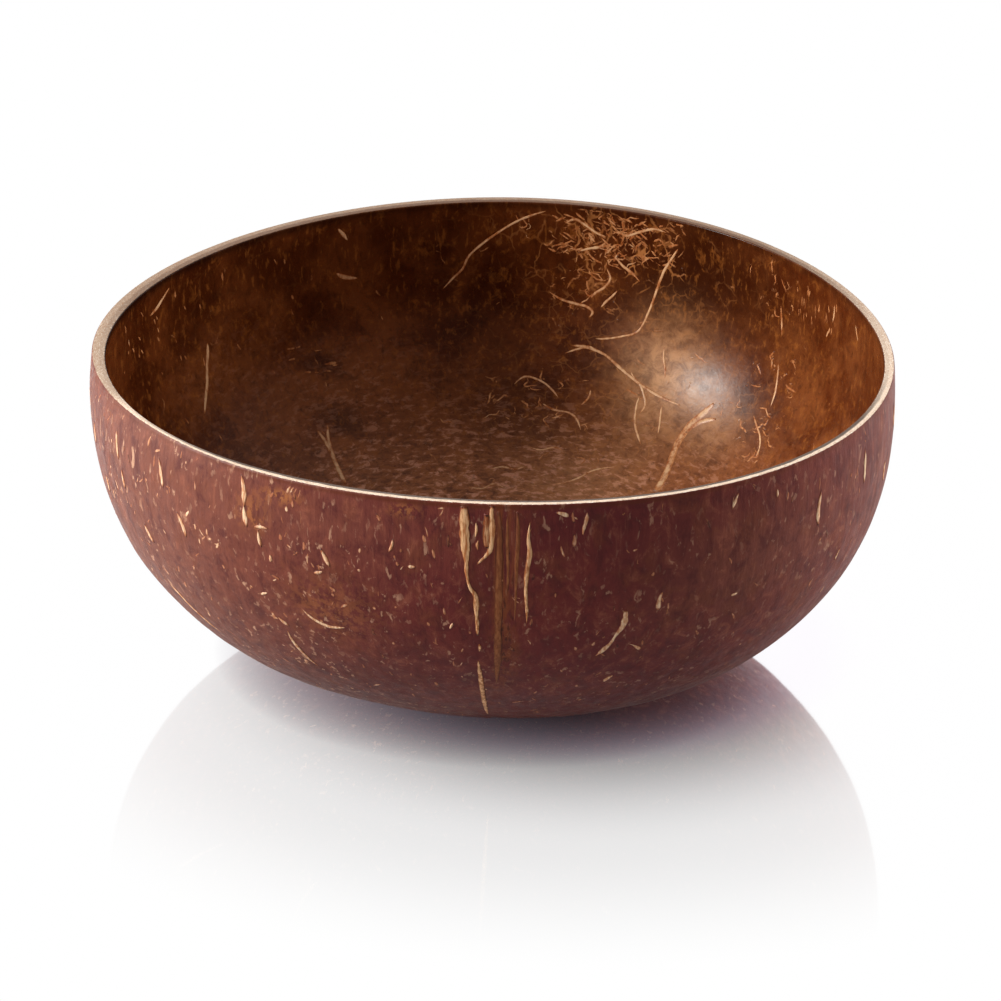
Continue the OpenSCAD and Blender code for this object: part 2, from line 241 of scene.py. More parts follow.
def outside_relief(az, angle):
    """Broad lumps, plus fine ridges that run with the grain, plus a shallow channel with
    ridges of its own along each seam. It dies away at the rim and at the foot."""
    points = skin_point(OUTSIDE, az, angle)
    grain = grain_place(OUTSIDE, az, angle)
    height = 0.2 * MM * lattice_noise(points, 19 * MM, 1)
    height += 0.09 * MM * lattice_noise(points, 6.5 * MM, 2)
    height += 0.035 * MM * lattice_noise(grain * [1, 1, 0.12], 1.9 * MM, 3)
    wander = 1.1 * MM * lattice_noise(grain * [0, 0, 1], 17 * MM, 4)
    seam = near(from_seam(az), 1 * MM + wander, channel_w)
    height += seam * (-0.16 * MM + 0.13 * MM * lattice_noise(grain * [1, 1, 0.05], 1.7 * MM, 5))
    for inside_edge in (angle - foot_angle, outer_top - angle):
        height *= np.clip(inside_edge / edge_fade, 0, 1)
    return height - sanded_in(az, points[..., 2])


def inside_relief(az, angle):
    """The marks of the scraper: soft lumps in two sizes, dying away at the rim."""
    points = skin_point(INSIDE, az, angle)
    height = 0.14 * MM * lattice_noise(points, 15 * MM, 6)
    height += 0.03 * MM * lattice_noise(points, 5 * MM, 7)
    return height * np.clip((inner_top - angle) / edge_fade, 0, 1)


def surface_point(skin, az, angle):
    """A point of the uneven surface: the skin's, moved along its normal by the relief."""
    relief = outside_relief if skin is OUTSIDE else inside_relief
    return skin_point(skin, az, angle) + facing(skin, az, angle) * relief(az, angle)[..., None]


around = 540
az = np.arange(around) * 360 / around
print("relief halfway up, in mm:", (outside_relief(az, outer_top / 2)[::around // 6] / MM).round(2))

# %% [markdown]
# ## Putting arrays into meshes
#
# Blender can take a whole mesh at once from flat arrays. That is far quicker
# than adding faces one by one, and it keeps each shape's formula free of
# Blender's own calls.

# %% Mesh helpers
def add_piece(name, points, faces, values, materials, face_material=None):
    """A mesh object of triangles and quads, with its named values stored at its points."""
    mesh = bpy.data.meshes.new(name)
    sizes = np.concatenate([np.full(len(f), f.shape[1]) for f in faces])
    corners_of_faces = np.concatenate([f.ravel() for f in faces])
    mesh.vertices.add(len(points))
    mesh.vertices.foreach_set("co", np.asarray(points, np.float32).ravel())
    mesh.loops.add(len(corners_of_faces))
    mesh.loops.foreach_set("vertex_index", corners_of_faces.astype(np.int32))
    mesh.polygons.add(len(sizes))
    mesh.polygons.foreach_set("loop_start", (np.cumsum(sizes) - sizes).astype(np.int32))
    mesh.update(calc_edges=True)
    mesh.polygons.foreach_set("use_smooth", np.ones(len(sizes), bool))
    for key, value in values.items():
        kind, field = ("FLOAT_VECTOR", "vector") if value.ndim == 2 else ("FLOAT", "value")
        layer = mesh.attributes.new(key, kind, "POINT")
        layer.data.foreach_set(field, np.asarray(value, np.float32).ravel())
    for material in materials:
        mesh.materials.append(material)
    if face_material is not None:
        mesh.polygons.foreach_set("material_index", face_material.astype(np.int32))
    mesh.validate()
    piece = bpy.data.objects.new(name, mesh)
    bpy.context.collection.objects.link(piece)
    return piece


def ring_quads(rings, around, first=0):
    """Quads between rings of points that are numbered one ring after another from first."""
    ring, step = np.meshgrid(np.arange(rings - 1), np.arange(around), indexing="ij")
    a = first + ring * around + step
    b = first + ring * around + (step + 1) % around
    return np.stack([a, b, b + around, a + around], -1).reshape(-1, 4)


def fan(middle, first, around, flip):
    """Triangles from a middle point to the ring that starts at first."""
    step = np.arange(around)
    a, b = first + step, first + (step + 1) % around
    return np.stack([np.full(around, middle), b, a] if flip else [np.full(around, middle), a, b], -1)


# %% [markdown]
# ## Shader helper
#
# Every finish here is a tree of nodes. A small class keeps the trees short
# to read: one call makes a node, sets its values and links its inputs.

# %% Shader helper
def srgb(red, green, blue):
    """A colour as a paint program gives it, 0 to 255, made linear."""
    share = np.array([red, green, blue]) / 255
    linear = np.where(share <= 0.04045, share / 12.92, ((share + 0.055) / 1.055) ** 2.4)
    return (*linear.tolist(), 1.0)


class Finish:
    """A material, or the world, that is built node by node."""

    def __init__(self, name, among=bpy.data.materials):
        self.made = among.new(name)
        self.made.use_nodes = True
        self.tree = self.made.node_tree
        self.tree.nodes.clear()

    def node(self, kind, inputs=(), **settings):
        made = self.tree.nodes.new(kind)
        for key, value in settings.items():
            setattr(made, key, value)
        for key, value in dict(inputs).items():
            if isinstance(value, bpy.types.NodeSocket):
                self.tree.links.new(value, made.inputs[key])
            else:
                made.inputs[key].default_value = value
        return made

    def value(self, name):
        """A number stored at the mesh's points."""
        return self.node("ShaderNodeAttribute", attribute_name=name).outputs["Fac"]

    def grain(self, across=1, along=1):
        """The grain coordinates in millimetres, scaled across and along the grain."""
        place = self.node("ShaderNodeAttribute", attribute_name="grain").outputs["Vector"]
        inputs = {"Vector": place, "Scale": (across / MM, across / MM, along / MM)}
        return self.node("ShaderNodeMapping", inputs, vector_type="POINT").outputs["Vector"]

    def noise(self, vector, scale, detail=4, roughness=0.6, distortion=0):
        inputs = {"Vector": vector, "Scale": scale, "Detail": detail, "Roughness": roughness,
                  "Distortion": distortion}
        return self.node("ShaderNodeTexNoise", inputs).outputs["Fac"]

    def curve(self, factor, low, high, start=0, end=1):
        """The factor's stretch from low to high, mapped to start to end and held outside it."""
        inputs = {"Value": factor, "From Min": low, "From Max": high, "To Min": start, "To Max": end}
        return self.node("ShaderNodeMapRange", inputs, interpolation_type="SMOOTHSTEP").outputs["Result"]

    def math(self, operation, a, b):
        return self.node("ShaderNodeMath", {0: a, 1: b}, operation=operation).outputs["Value"]

    def vector(self, operation, a, b, output="Vector"):
        return self.node("ShaderNodeVectorMath", {0: a, 1: b}, operation=operation).outputs[output]

    def times(self, a, b):
        return self.math("MULTIPLY", a, b)

    def ragged(self, value, pattern, share):
        """The value, raised and lowered by a share of the pattern."""
        return self.math("ADD", value, self.times(self.math("SUBTRACT", pattern, 0.5), share))

    def mix(self, factor, a, b):
        return self.node("ShaderNodeMix", {"Factor": factor, 6: a, 7: b}, data_type="RGBA").outputs[2]

    def tint(self, colour, pattern, low, high, share, target, where=None):
        """The colour, turned towards the target as the pattern goes from low to high, by up to
        the share, and only where the stored value is high if one is named."""
        factor = self.curve(pattern, low, high, 0, share)
        if where:
            factor = self.times(factor, self.value(where))
        return self.mix(factor, colour, srgb(*target))

    def bump(self, height, distance, strength=1.0):
        inputs = {"Height": height, "Distance": distance, "Strength": strength}
        return self.node("ShaderNodeBump", inputs).outputs["Normal"]

    def surface(self, **inputs):
        named = {key.replace("_", " "): value for key, value in inputs.items()}
        shader = self.node("ShaderNodeBsdfPrincipled", named)
        self.node("ShaderNodeOutputMaterial", {"Surface": shader.outputs["BSDF"]})
        return self.made


# %% [markdown]
# ## The outside's finish
#
# Outside, the shell is a red brown, sanded to a satin sheen. It is mottled,
# it has fine lines along the grain, and short pale flecks show where fibres
# left the shell. Along each seam runs a band of orange brown. The colour is
# a function of its own, because the strands fade into it at their edges.

# %% Outside colour
def outside_colour(f):
    """Maroon blotched by noise, browner and paler where the brown value is high, which is partly
    the shell's own tone and partly a painted sheen on the lit left side and by the right edge,
    darker towards the foot as painted shade, with flecks, the seam band and a dark line under
    the rim."""
    even = f.grain()
    broad = f.curve(f.noise(even, 0.07, 3, 0.55), 0.35, 0.65)
    colour = f.mix(broad, srgb(106, 31, 35), srgb(118, 41, 39))
    # Where the brown value is high: partly the shell's browner tone, partly a painted sheen on the lit
    # left side and by the right edge.
    colour = f.mix(f.value("brown"), colour, srgb(130, 75, 58))
    colour = f.tint(colour, f.noise(even, 0.17, 4, 0.62), 0.5, 0.66, 0.4, (126, 66, 40))
    # Darker towards the foot: painted shade where the bowl comes close to the table.
    colour = f.mix(f.value("low"), colour, srgb(94, 13, 15))
    blotch = f.noise(f.grain(1, 0.7), 0.36, 7, 0.72, 0.5)
    colour = f.tint(colour, blotch, 0.52, 0.36, 0.6, (82, 29, 31))
    colour = f.tint(colour, blotch, 0.52, 0.7, 0.55, (166, 96, 72))
    streak = f.noise(f.grain(1, 0.13), 0.9)
    colour = f.tint(colour, streak, 0.56, 0.8, 0.35, (170, 104, 78))
    colour = f.tint(colour, streak, 0.44, 0.25, 0.4, (78, 30, 30))
    patch = f.curve(f.noise(even, 0.13, 2, 0.5), 0.42, 0.62, 0.25, 1)
    fleck = f.curve(f.noise(f.grain(1, 0.6), 0.85, 3, 0.55, 0.4), 0.59, 0.68)
    colour = f.mix(f.times(f.times(fleck, patch), f.value("flecked")), colour, srgb(204, 154, 124))
    band, dark = f.noise(f.grain(1, 0.04), 0.95, 3), f.noise(f.grain(1, 0.05), 1.5, 3)
    colour = f.tint(colour, band, 0.36, 0.6, 0.75, (144, 74, 36), "seam")
    colour = f.tint(colour, dark, 0.46, 0.36, 0.75, (58, 22, 18), "seam")
    colour = f.tint(colour, f.noise(even, 0.9, 4, 0.65), 0.44, 0.56, 1, (180, 110, 62), "stain")
    return f.mix(f.value("brim"), colour, srgb(104, 46, 18))


def outside_bump(f):
    """Scratches along the grain over finer grit."""
    lines = f.noise(f.grain(1, 0.16), 1.3, 4, 0.65)
    grit = f.noise(f.grain(), 3.1, 3, 0.7)
    return f.bump(f.math("ADD", lines, f.times(grit, 0.5)), 0.09 * MM, 0.8)


def sawn_colour(f):
    """Sanded shell: cream where it is kept clean and olive brown where it is handled, with
    short brown dashes round it, near white dashes where it is clean as painted glints, and the
    oil soaked into its inner part."""
    even, clean = f.grain(), f.value("clean")
    tone, dashes = f.noise(even, 0.3), f.noise(even, 1.5, 3)
    colour = f.mix(clean, srgb(134, 100, 72), srgb(246, 218, 192))
    colour = f.tint(colour, tone, 0.42, 0.3, 0.45, (168, 124, 90))
    colour = f.tint(colour, dashes, 0.46, 0.34, 0.5, (150, 100, 64))
    # The near white dashes where the rim is clean are painted glints.
    colour = f.tint(colour, dashes, 0.54, 0.64, 1, (255, 240, 222), "clean")
    soaked = f.times(f.curve(f.ragged(f.value("inward"), tone, 0.5), 0.4, 0.66), f.value("soaked"))
    return f.mix(soaked, colour, f.mix(clean, srgb(100, 64, 42), srgb(52, 24, 10)))


def edge_mask(f):
    """Where the sanding has gone through the skin beside the rim, with a ragged border."""
    ragged = f.noise(f.grain(1, 0.6), 1.4, 3)
    return f.curve(f.math("ADD", f.value("sawn"), f.times(ragged, 0.6)), 0.95, 1.15)


f = Finish("outside_skin")
colour = f.mix(edge_mask(f), outside_colour(f), sawn_colour(f))
rough = f.curve(f.noise(f.grain(1, 0.5), 0.5), 0.3, 0.7, 0.38, 0.52)
outside_skin = f.surface(Base_Color=colour, Roughness=rough, Normal=outside_bump(f),
                         Specular_IOR_Level=0.23)

f = Finish("sawn_rim")
rough = f.curve(f.noise(f.grain(), 1.2, 3), 0.3, 0.7, 0.65, 0.85)
grit = f.bump(f.noise(f.grain(), 2.4, 4, 0.7), 0.06 * MM)
sawn_rim = f.surface(Base_Color=sawn_colour(f), Roughness=rough, Normal=grit, Specular_IOR_Level=0.02)
print("outside finishes made")

# %% [markdown]
# ## The inside's finish
#
# The inside is oiled until it shines. It is a dark orange brown, with a web
# of veinlets that is close in some places and missing in others. The web is
# the border between cells of a Voronoi pattern, bent by noise.

# %% Inside colour
def inside_colour(f):
    """Browns mixed by noise, warmer where the warm value is high, and paler and greyer on the floor
    partly as painted light, with painted shade on the back wall, in a band on the left wall and
    just under the rim, a tan patch with a painted sheen beside the highlight, near black
    patches, faint strokes, and the web of veinlets."""
    even, warm = f.grain(), f.value("warm")
    broad = f.noise(even, 0.07, 4, 0.6, 0.4)
    mottle = f.noise(even, 0.34, 6, 0.7, 0.5)
    dark = f.mix(warm, srgb(58, 20, 4), srgb(96, 42, 14))
    pale = f.mix(warm, srgb(88, 38, 12), srgb(130, 70, 33))
    colour = f.mix(f.curve(broad, 0.38, 0.62), dark, pale)
    # Paler and greyer on the inside floor: partly the floor's own colour, partly painted light and a
    # painted reflection of the bright room.
    colour = f.mix(f.value("low"), colour, srgb(164, 100, 60))
    # Painted shade: near black on the back wall and the back right, where little light falls.
    colour = f.mix(f.value("painted_back_shade"), colour, srgb(42, 11, 2))
    colour = f.tint(colour, mottle, 0.5, 0.36, 0.35, (50, 20, 8))
    colour = f.tint(colour, mottle, 0.54, 0.7, 0.45, (160, 92, 38))
    swept = f.noise(f.grain(0.5, 1), 0.8, 5, 0.66, 0.4)
    colour = f.tint(colour, swept, 0.51, 0.62, 1, (214, 150, 118), "low")
    colour = f.tint(colour, swept, 0.49, 0.38, 0.7, (88, 44, 26), "low")
    # Painted shade: a dark band down the left inner wall and a patch on the back wall.
    colour = f.tint(colour, broad, 0.62, 0.38, 0.75, (30, 13, 14), "dim")
    stroke = f.noise(f.grain(1, 0.4), 1, 3)
    colour = f.tint(colour, stroke, 0.56, 0.7, 0.4, (162, 96, 42))
    colour = f.tint(colour, stroke, 0.44, 0.3, 0.35, (44, 14, 4))
    # A tan patch beside the highlight: partly the shell's tan colour, partly a painted sheen round the
    # highlight.
    tan = f.times(f.value("pale_and_sheen"), f.curve(mottle, 0.36, 0.64, 0.4, 1))
    colour = f.mix(tan, colour, srgb(202, 148, 102))
    bend = f.node("ShaderNodeTexNoise", {"Vector": even, "Scale": 0.22, "Detail": 3}).outputs["Color"]
    bent = f.vector("ADD", even, f.vector("MULTIPLY", bend, (4.5, 4.5, 4.5)))
    cells = f.node("ShaderNodeTexVoronoi", {"Vector": bent, "Scale": 0.24}, feature="DISTANCE_TO_EDGE")
    web = f.curve(cells.outputs["Distance"], 0.05, 0.012)
    web = f.times(web, f.times(f.curve(f.noise(even, 0.2, 2), 0.44, 0.62), f.value("web")))
    colour = f.mix(web, colour, srgb(176, 112, 62))
    # Near black just under the rim inside, strongest on the left: painted shade.
    return f.mix(f.value("brim"), colour, srgb(28, 10, 5))


def oiled_surface(f, colour):
    """The inside's shine: oil over soft, shallow marks."""
    rough = f.curve(f.noise(f.grain(), 0.4), 0.3, 0.7, 0.25, 0.32)
    marks = f.bump(f.noise(f.grain(), 0.9), 0.035 * MM, 0.7)
    return f.surface(Base_Color=colour, Roughness=rough, Normal=marks, Specular_IOR_Level=0.09)


f = Finish("inside_skin")
inside_skin = oiled_surface(f, f.mix(edge_mask(f), inside_colour(f), sawn_colour(f)))
print("inside finish made")

# %% [markdown]
# ## The wall
#
# The wall is one closed mesh, as on the real bowl: from the middle of the
# foot out, up the outside, over the sanded rim, and down to the middle of the
# floor. Rows lie closer near the rim, where the pale edge needs them. The
# finishes change from place to place, so each point stores how much of each
# change it gets, mostly as a sum of soft patches.

# %% Values that the finishes read
def patches(az, height, rows):
    """A sum of soft patches. Each row gives a share, then the middle and the spread of its bell
    curve round the bowl in degrees, then those of its bell curve up the bowl."""
    return sum(share * towards(az, a, a_spread) * near(height, h, h_spread)
               for share, a, a_spread, h, h_spread in rows)


def broad_values(skin, az, angle):
    """What the finishes need to know at each point: where the seams, the flecks, the stains,
    the web, the warm side and the edges are, and where shade, light and sheen are painted."""
    height = skin_point(skin, az, angle)[..., 2] / bowl_h
    depth = (1 - height) * bowl_h
    if skin is OUTSIDE:
        # Outside, low is painted shade towards the foot.
        low = 0.6 * near(height, 0.05, 0.25)
        brim = 0.75 * near(depth, 0.55 * MM, 0.35 * MM) * (0.35 + 0.65 * towards(az, 265, 34))
    else:
        # Inside, low is partly the floor's own colour and partly painted light on the floor.
        low = 0.3 * near(height, 0.1, 0.2) + patches(az, height, [
            (0.9, 96, 80, 0.12, 0.2), (0.22, 116, 12, 0.44, 0.13), (0.14, 138, 14, 0.56, 0.14)])
        # Inside, brim is painted shade just under the rim.
        brim = near(depth, 0.5 * MM, 0.9 * MM) * (0.35 + 0.55 * towards(az, 180, 60))
    # brown: partly the shell's browner tone, partly a painted sheen on the lit left side and by the
    # right edge.
    brown = 0.9 * towards(az, 210, 40) + 0.3 * towards(az, 110, 40) + 0.5 * towards(az, 342, 34)
    brown += patches(az, height, [(0.45, 306, 16, 0.75, 0.2), (0.2, 252, 20, 0.88, 0.12)])
    web = 0.06 + 0.2 * near(height, 0.2, 0.14)
    web += patches(az, height, [(1, 70, 14, 0.88, 0.16), (0.35, 62, 26, 0.45, 0.2)])
    warm = 0.12 + 0.8 * towards(az, 20, 46) + 0.35 * near(height, 0.15, 0.2)
    warm += patches(az, height, [
        (0.3, 102, 8, 0.75, 0.12), (1, 122, 32, 0.5, 0.28), (-0.2, 90, 14, 0.6, 0.3)])
    # dim is painted shade: a band on the left inner wall and a patch on the back wall.
    dim = patches(az, height, [(0.85, 121, 4.5, 0.48, 0.2), (0.3, 98, 7, 0.76, 0.14)])
    # Partly a tan patch, partly a painted sheen round the highlight.
    pale_and_sheen = patches(az, height, [
        (1, 60, 8, 0.5, 0.15), (0.35, 70, 16, 0.21, 0.09), (0.5, 46, 7, 0.42, 0.08)])
    limited = {"brown": brown, "web": web, "warm": warm, "dim": dim, "pale_and_sheen": pale_and_sheen}
    return {
        "grain": grain_place(skin, az, angle), "low": low, "brim": brim,
        "seam": near(from_seam(az), 1.3 * MM, 2.3 * MM) * np.clip((height - 0.25) / 0.25, 0, 1),
        "flecked": 0.45 + 0.55 * towards(az, 222, 40),
        "stain": patches(az, height, [(0.9, 238, 3, 0.945, 0.02), (0.7, 233, 2.5, 0.87, 0.05),
                                      (0.8, 257, 2.2, 0.965, 0.02), (0.4, 245, 7, 0.6, 0.1)]),
        # Painted shade on the back wall and the back right.
        "painted_back_shade": patches(az, height, [(0.35, 92, 12, 0.74, 0.2), (0.7, 50, 19, 0.83, 0.18),
                                     (0.3, 86, 14, 0.38, 0.08), (0.25, 39, 6, 0.5, 0.1),
                                     (0.35, 56, 8, 0.96, 0.1), (0.45, 62, 8, 0.74, 0.11)]),
        **{key: np.clip(value, 0, 1) for key, value in limited.items()},
    }


print("values stored at each point:", len(broad_values(INSIDE, az, inner_top)))

# %% Build the wall
foot_rows, side_rows, edge_rows, rim_rows = 5, 66, 16, 8
edge_turn = 3.0


def wall_rows():
    """Lists of (points, skin, angle, sawn, inward) for each row, from the foot's edge to the
    floor. Near the rim the rows' spacing shrinks with the square of the distance."""
    closer = edge_turn * np.linspace(1, 0, edge_rows)[1:] ** 2
    up = np.concatenate([np.linspace(foot_angle, outer_top - edge_turn, side_rows), outer_top - closer])
    rows = [(surface_point(OUTSIDE, az, angle), OUTSIDE, angle, 0, 0) for angle in up]
    out = np.stack([np.cos(np.radians(az)), np.sin(np.radians(az)), 0 * az], -1)
    for skin, top, side, turns in ((OUTSIDE, outer_top, 1, np.linspace(0, 90, rim_rows)[1:]),
                                   (INSIDE, inner_top, -1, np.linspace(90, 0, rim_rows))):
        edge = skin_point(skin, az, top) - (1 + side) / 2 * sanded_in(az, bowl_h)[:, None] * out
        for turn in np.radians(turns):
            points = edge - side * rim_round * (1 - math.cos(turn)) * out
            points[:, 2] += rim_round * math.sin(turn)
            rows.append((points, skin, top, math.sin(turn) ** 2, (1 - side) / 2))
    down = np.linspace(inner_top - edge_turn, 0, side_rows)[:-1]
    down = np.concatenate([inner_top - closer[::-1], down])[1:]
    return rows + [(surface_point(INSIDE, az, angle), INSIDE, angle, 0, 1) for angle in down]


rows = wall_rows()
ring_count = foot_rows + len(rows)
outward = (np.arange(foot_rows) + 1) / (foot_rows + 1)
foot = [skin_point(OUTSIDE, az, foot_angle) * [share, share, 0] for share in outward]
poles = [[[0, 0, 0]], [skin_point(INSIDE, 0.0, 0.0)]]
points = np.concatenate(foot + [row[0] for row in rows] + poles)

per_row = [broad_values(OUTSIDE, az, foot_angle)] * foot_rows
per_row += [broad_values(skin, az, angle) for _, skin, angle, _, _ in rows]
values = {}
for key in per_row[0]:
    ends = [per_row[0][key][:1], per_row[-1][key][:1]]
    values[key] = np.concatenate([row[key] for row in per_row] + ends)
for key, column in (("sawn", 3), ("inward", 4)):
    values[key] = np.repeat([0.0] * foot_rows + [float(row[column]) for row in rows] + [0, 0],
                            [around] * ring_count + [1, 1])
from_front = (az - front_seam_az + 180) % 360 - 180
for key, places, shares in (
        ("clean", [-180, -110, -90, -73, -66, 72, 88, 110, 135, 180],
         [0.12, 0.2, 0.36, 0.42, 1, 1, 0.8, 0.45, 0.15, 0.12]),
        ("soaked", [-180, -110, -92, -64, -45, 62, 80, 100, 130, 180],
         [0.85, 0.5, 0.15, 0.15, 0.9, 0.9, 0.15, 0.1, 0.7, 0.85])):
    values[key] = np.concatenate([np.tile(np.interp(from_front, places, shares), ring_count), [0, 0]])
print("rows:", ring_count, "of", around, "points, with", len(values), "values each")

# %% [markdown]
# The flat of the rim has the inside's material, so its sawn colour shines
# like the oiled skin. The dull finish of the sawn rim covers only the last
# narrow band of the outer rounded edge.

# %% Join the wall
quads = ring_quads(ring_count, around)
bottom = fan(ring_count * around, 0, around, True)
inner_pole = fan(ring_count * around + 1, (ring_count - 1) * around, around, False)
band = np.repeat(np.arange(ring_count - 1), around) - foot_rows
bare_band = len(rows) // 2 - 1
quad_material = np.where(band < 0, 3, np.sign(band - bare_band) + 1)
face_material = np.concatenate([quad_material, np.full(around, 3), np.full(around, 2)])

f = Finish("sanded_foot")
rings = f.noise(f.node("ShaderNodeTexCoord").outputs["Object"], 260, 5, 0.65)
pale_foot = f.mix(f.curve(rings, 0.3, 0.7), srgb(150, 104, 78), srgb(118, 74, 54))
sanded_foot = f.surface(Base_Color=pale_foot, Roughness=0.62,
                        Normal=f.bump(f.noise(f.grain(), 2.2), 0.05 * MM))

nut_wall = add_piece("nut_wall", points, [quads, bottom, inner_pole], values,
                     [outside_skin, sawn_rim, inside_skin, sanded_foot], face_material)
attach(nut_wall, "root")
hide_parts("shell")
print("wall:", len(points), "points,", 2 * len(quads) + 2 * around, "triangles")

# %% [markdown]
# ## Strands
#
# A strand is a profile carried along a path on a skin: a low crown that
# rises out of its groove and sinks into it at both edges. Its stored
# paleness is 1 along the crown and 0 at the edges, so that its finish can
# fade into the wall's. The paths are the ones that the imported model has, as
# azimuth, height and width, with a smooth curve through their points.

# %% Carry a profile along a path
crown = np.array([-1, -0.75, -0.4, 0, 0.4, 0.75, 1])
under = np.array([0.5, -0.5])
groove, sunk, thinnest, full_rise_from = 0.3 * MM, 0.02 * MM, 0.02 * MM, 0.25 * MM
fade_steps, short_bow, under_rim = 2.5, 0.08, 0.5
short_outline = np.array([0.12, 0.5, 0.8, 0.95, 1, 0.95, 0.85, 0.75, 0.6, 0.4, 0.12])


def smooth_through(stops, count):
    """A Catmull-Rom curve: each stretch is a cubic whose slope at a stop is half the step
    between the stops beside it."""
    padded = np.concatenate([2 * stops[:1] - stops[1:2], stops, 2 * stops[-1:] - stops[-2:-1]])
    place = np.linspace(0, len(stops) - 1, count)
    i = np.minimum(place.astype(int), len(stops) - 2)
    t = (place - i)[:, None]
    a, b, c, d = (padded[i + k] for k in range(4))
    square, cube = 2 * a - 5 * b + 4 * c - d, 3 * b - a - 3 * c + d
    return 0.5 * (2 * b + (c - a) * t + square * t**2 + cube * t**3)


def strand(skin, az, angle, half_width, proud, pale, seed, frayed=1.0):
    """Rings of points along a path. Each ring is the profile: across the path by the half
    width, and out of the skin by proud times (1 - across^2), sunk a little at the edges.
    A frayed strand's width changes along it by noise."""
    middle = surface_point(skin, az, angle)
    out = facing(skin, az, angle)
    across = np.cross(np.gradient(middle, axis=0), out)
    across /= np.linalg.norm(across, axis=1, keepdims=True)
    ragged = 0.35 * lattice_noise(middle, 1.1 * MM, seed)
    ragged += 0.25 * lattice_noise(middle, 0.5 * MM, seed + 1)
    half = np.maximum(half_width * (1 + frayed * ragged), thinnest)[:, None]
    rise = proud * np.minimum(1, half / full_rise_from)
    offset = across[:, None] * (half * np.concatenate([crown, under]))[..., None]
    lifted = rise * (1 - crown**2) - sunk
    lifted = np.concatenate([lifted, np.full((len(az), len(under)), -groove)], 1)
    rings = middle[:, None] + offset + out[:, None] * lifted[..., None]
    patchy = 0.85 + 0.25 * lattice_noise(middle, 1.7 * MM, seed + 2)
    steps = np.arange(len(az))
    fade = np.minimum(1, np.minimum(steps, steps[::-1]) / fade_steps)
    colour = (pale * patchy * fade)[:, None] * (1 - np.abs(crown) ** 3)
    colour = np.concatenate([colour, np.zeros((len(az), len(under)))], 1)
    turn = np.radians(az)
    round_it = np.stack([-np.sin(turn), np.cos(turn), 0 * turn], -1)
    up_it = np.cross(out, round_it)
    up_it *= np.sign(up_it[:, 2:])
    sideways, upwards = ((offset * way[:, None]).sum(-1) for way in (round_it, up_it))
    az_there = az[:, None] + np.degrees(sideways / ring_radius(skin, angle)[:, None])
    angle_there = angle[:, None] + np.degrees(upwards * 2 / (skin[0] + skin[1]))
    return rings, np.clip(colour, 0, 1), az_there, angle_there


def add_strands(name, node, skin, made, material):
    """One piece of many strands: their rings joined by quads, and a fan at both ends."""
    points, quads, triangles, pale, az_all, angle_all = [], [], [], [], [], []
    first = 0
    for rings, colour, az, angle in made:
        count, sides = rings.shape[:2]
        points += [rings.reshape(-1, 3), rings[[0, -1]].mean(1)]
        quads.append(ring_quads(count, sides, first)[:, ::-1])
        last = first + count * sides
        triangles += [fan(last, first, sides, False), fan(last + 1, last - sides, sides, True)]
        pale += [colour.ravel(), [0, 0]]
        az_all += [az.ravel(), az[[0, -1]].mean(1)]
        angle_all += [angle.ravel(), angle[[0, -1]].mean(1)]
        first = last + 2
    points, quads, triangles, pale, az_all, angle_all = (
        np.concatenate(parts) for parts in (points, quads, triangles, pale, az_all, angle_all))
    values = {**broad_values(skin, az_all, angle_all), "pale": pale}
    piece = add_piece(name, points, [quads, triangles], values, [material])
    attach(piece, "root")
    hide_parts(node)
    print(name + ":", len(made), "strands,", len(piece.data.polygons), "faces")


def routed(skin, route, width, proud, pale, seed, per_stop=5, frayed=1.0, taper=1.0, turn=0):
    """A strand along a route of stops: azimuths, shares of the height and shares of the width.
    A taper under 1 keeps it wide nearly to its ends."""
    az, height, share = smooth_through(np.array(route, float), per_stop * len(route)).T
    half = np.maximum(share, 0.04) ** taper * width / 2
    return strand(skin, az + turn, angle_at(skin, height * bowl_h), half, proud, pale, seed, frayed)


def short(skin, az, height, length, lean, width, proud, pale, seed):
    """A short fibre: a nearly straight path, leaning from upright by so many degrees. One that
    would pass the rim is moved down until its end lies half a degree under it."""
    step = np.linspace(-0.5, 0.5, len(short_outline)) * length
    bow = short_bow * length * math.sin(seed) * (1 - (2 * step / length) ** 2)
    angle = angle_at(skin, height * bowl_h)
    tilt = math.radians(lean)
    az_path = az + np.degrees((step * math.sin(tilt) + bow * math.cos(tilt)) / ring_radius(skin, angle))
    angle_path = angle + np.degrees((step * math.cos(tilt) - bow * math.sin(tilt)) / widest_r)
    top = outer_top if skin is OUTSIDE else inner_top
    angle_path -= max(0, angle_path.max() - top + under_rim)
    return strand(skin, az_path, angle_path, short_outline * width / 2, proud, pale, seed)


print("strand profile has", len(crown) + len(under), "points")

# %% [markdown]
# ## Finishes of the strands
#
# The husk fibres are dry and pale. Beside each one the shell is darker,
# as painted shade in its groove, so the finish goes from the wall's colour
# through a dark brown to cream as the paleness rises; the cream is partly a
# painted highlight. The veins inside have the oil over them: the same shine
# as the wall, and no dark border.

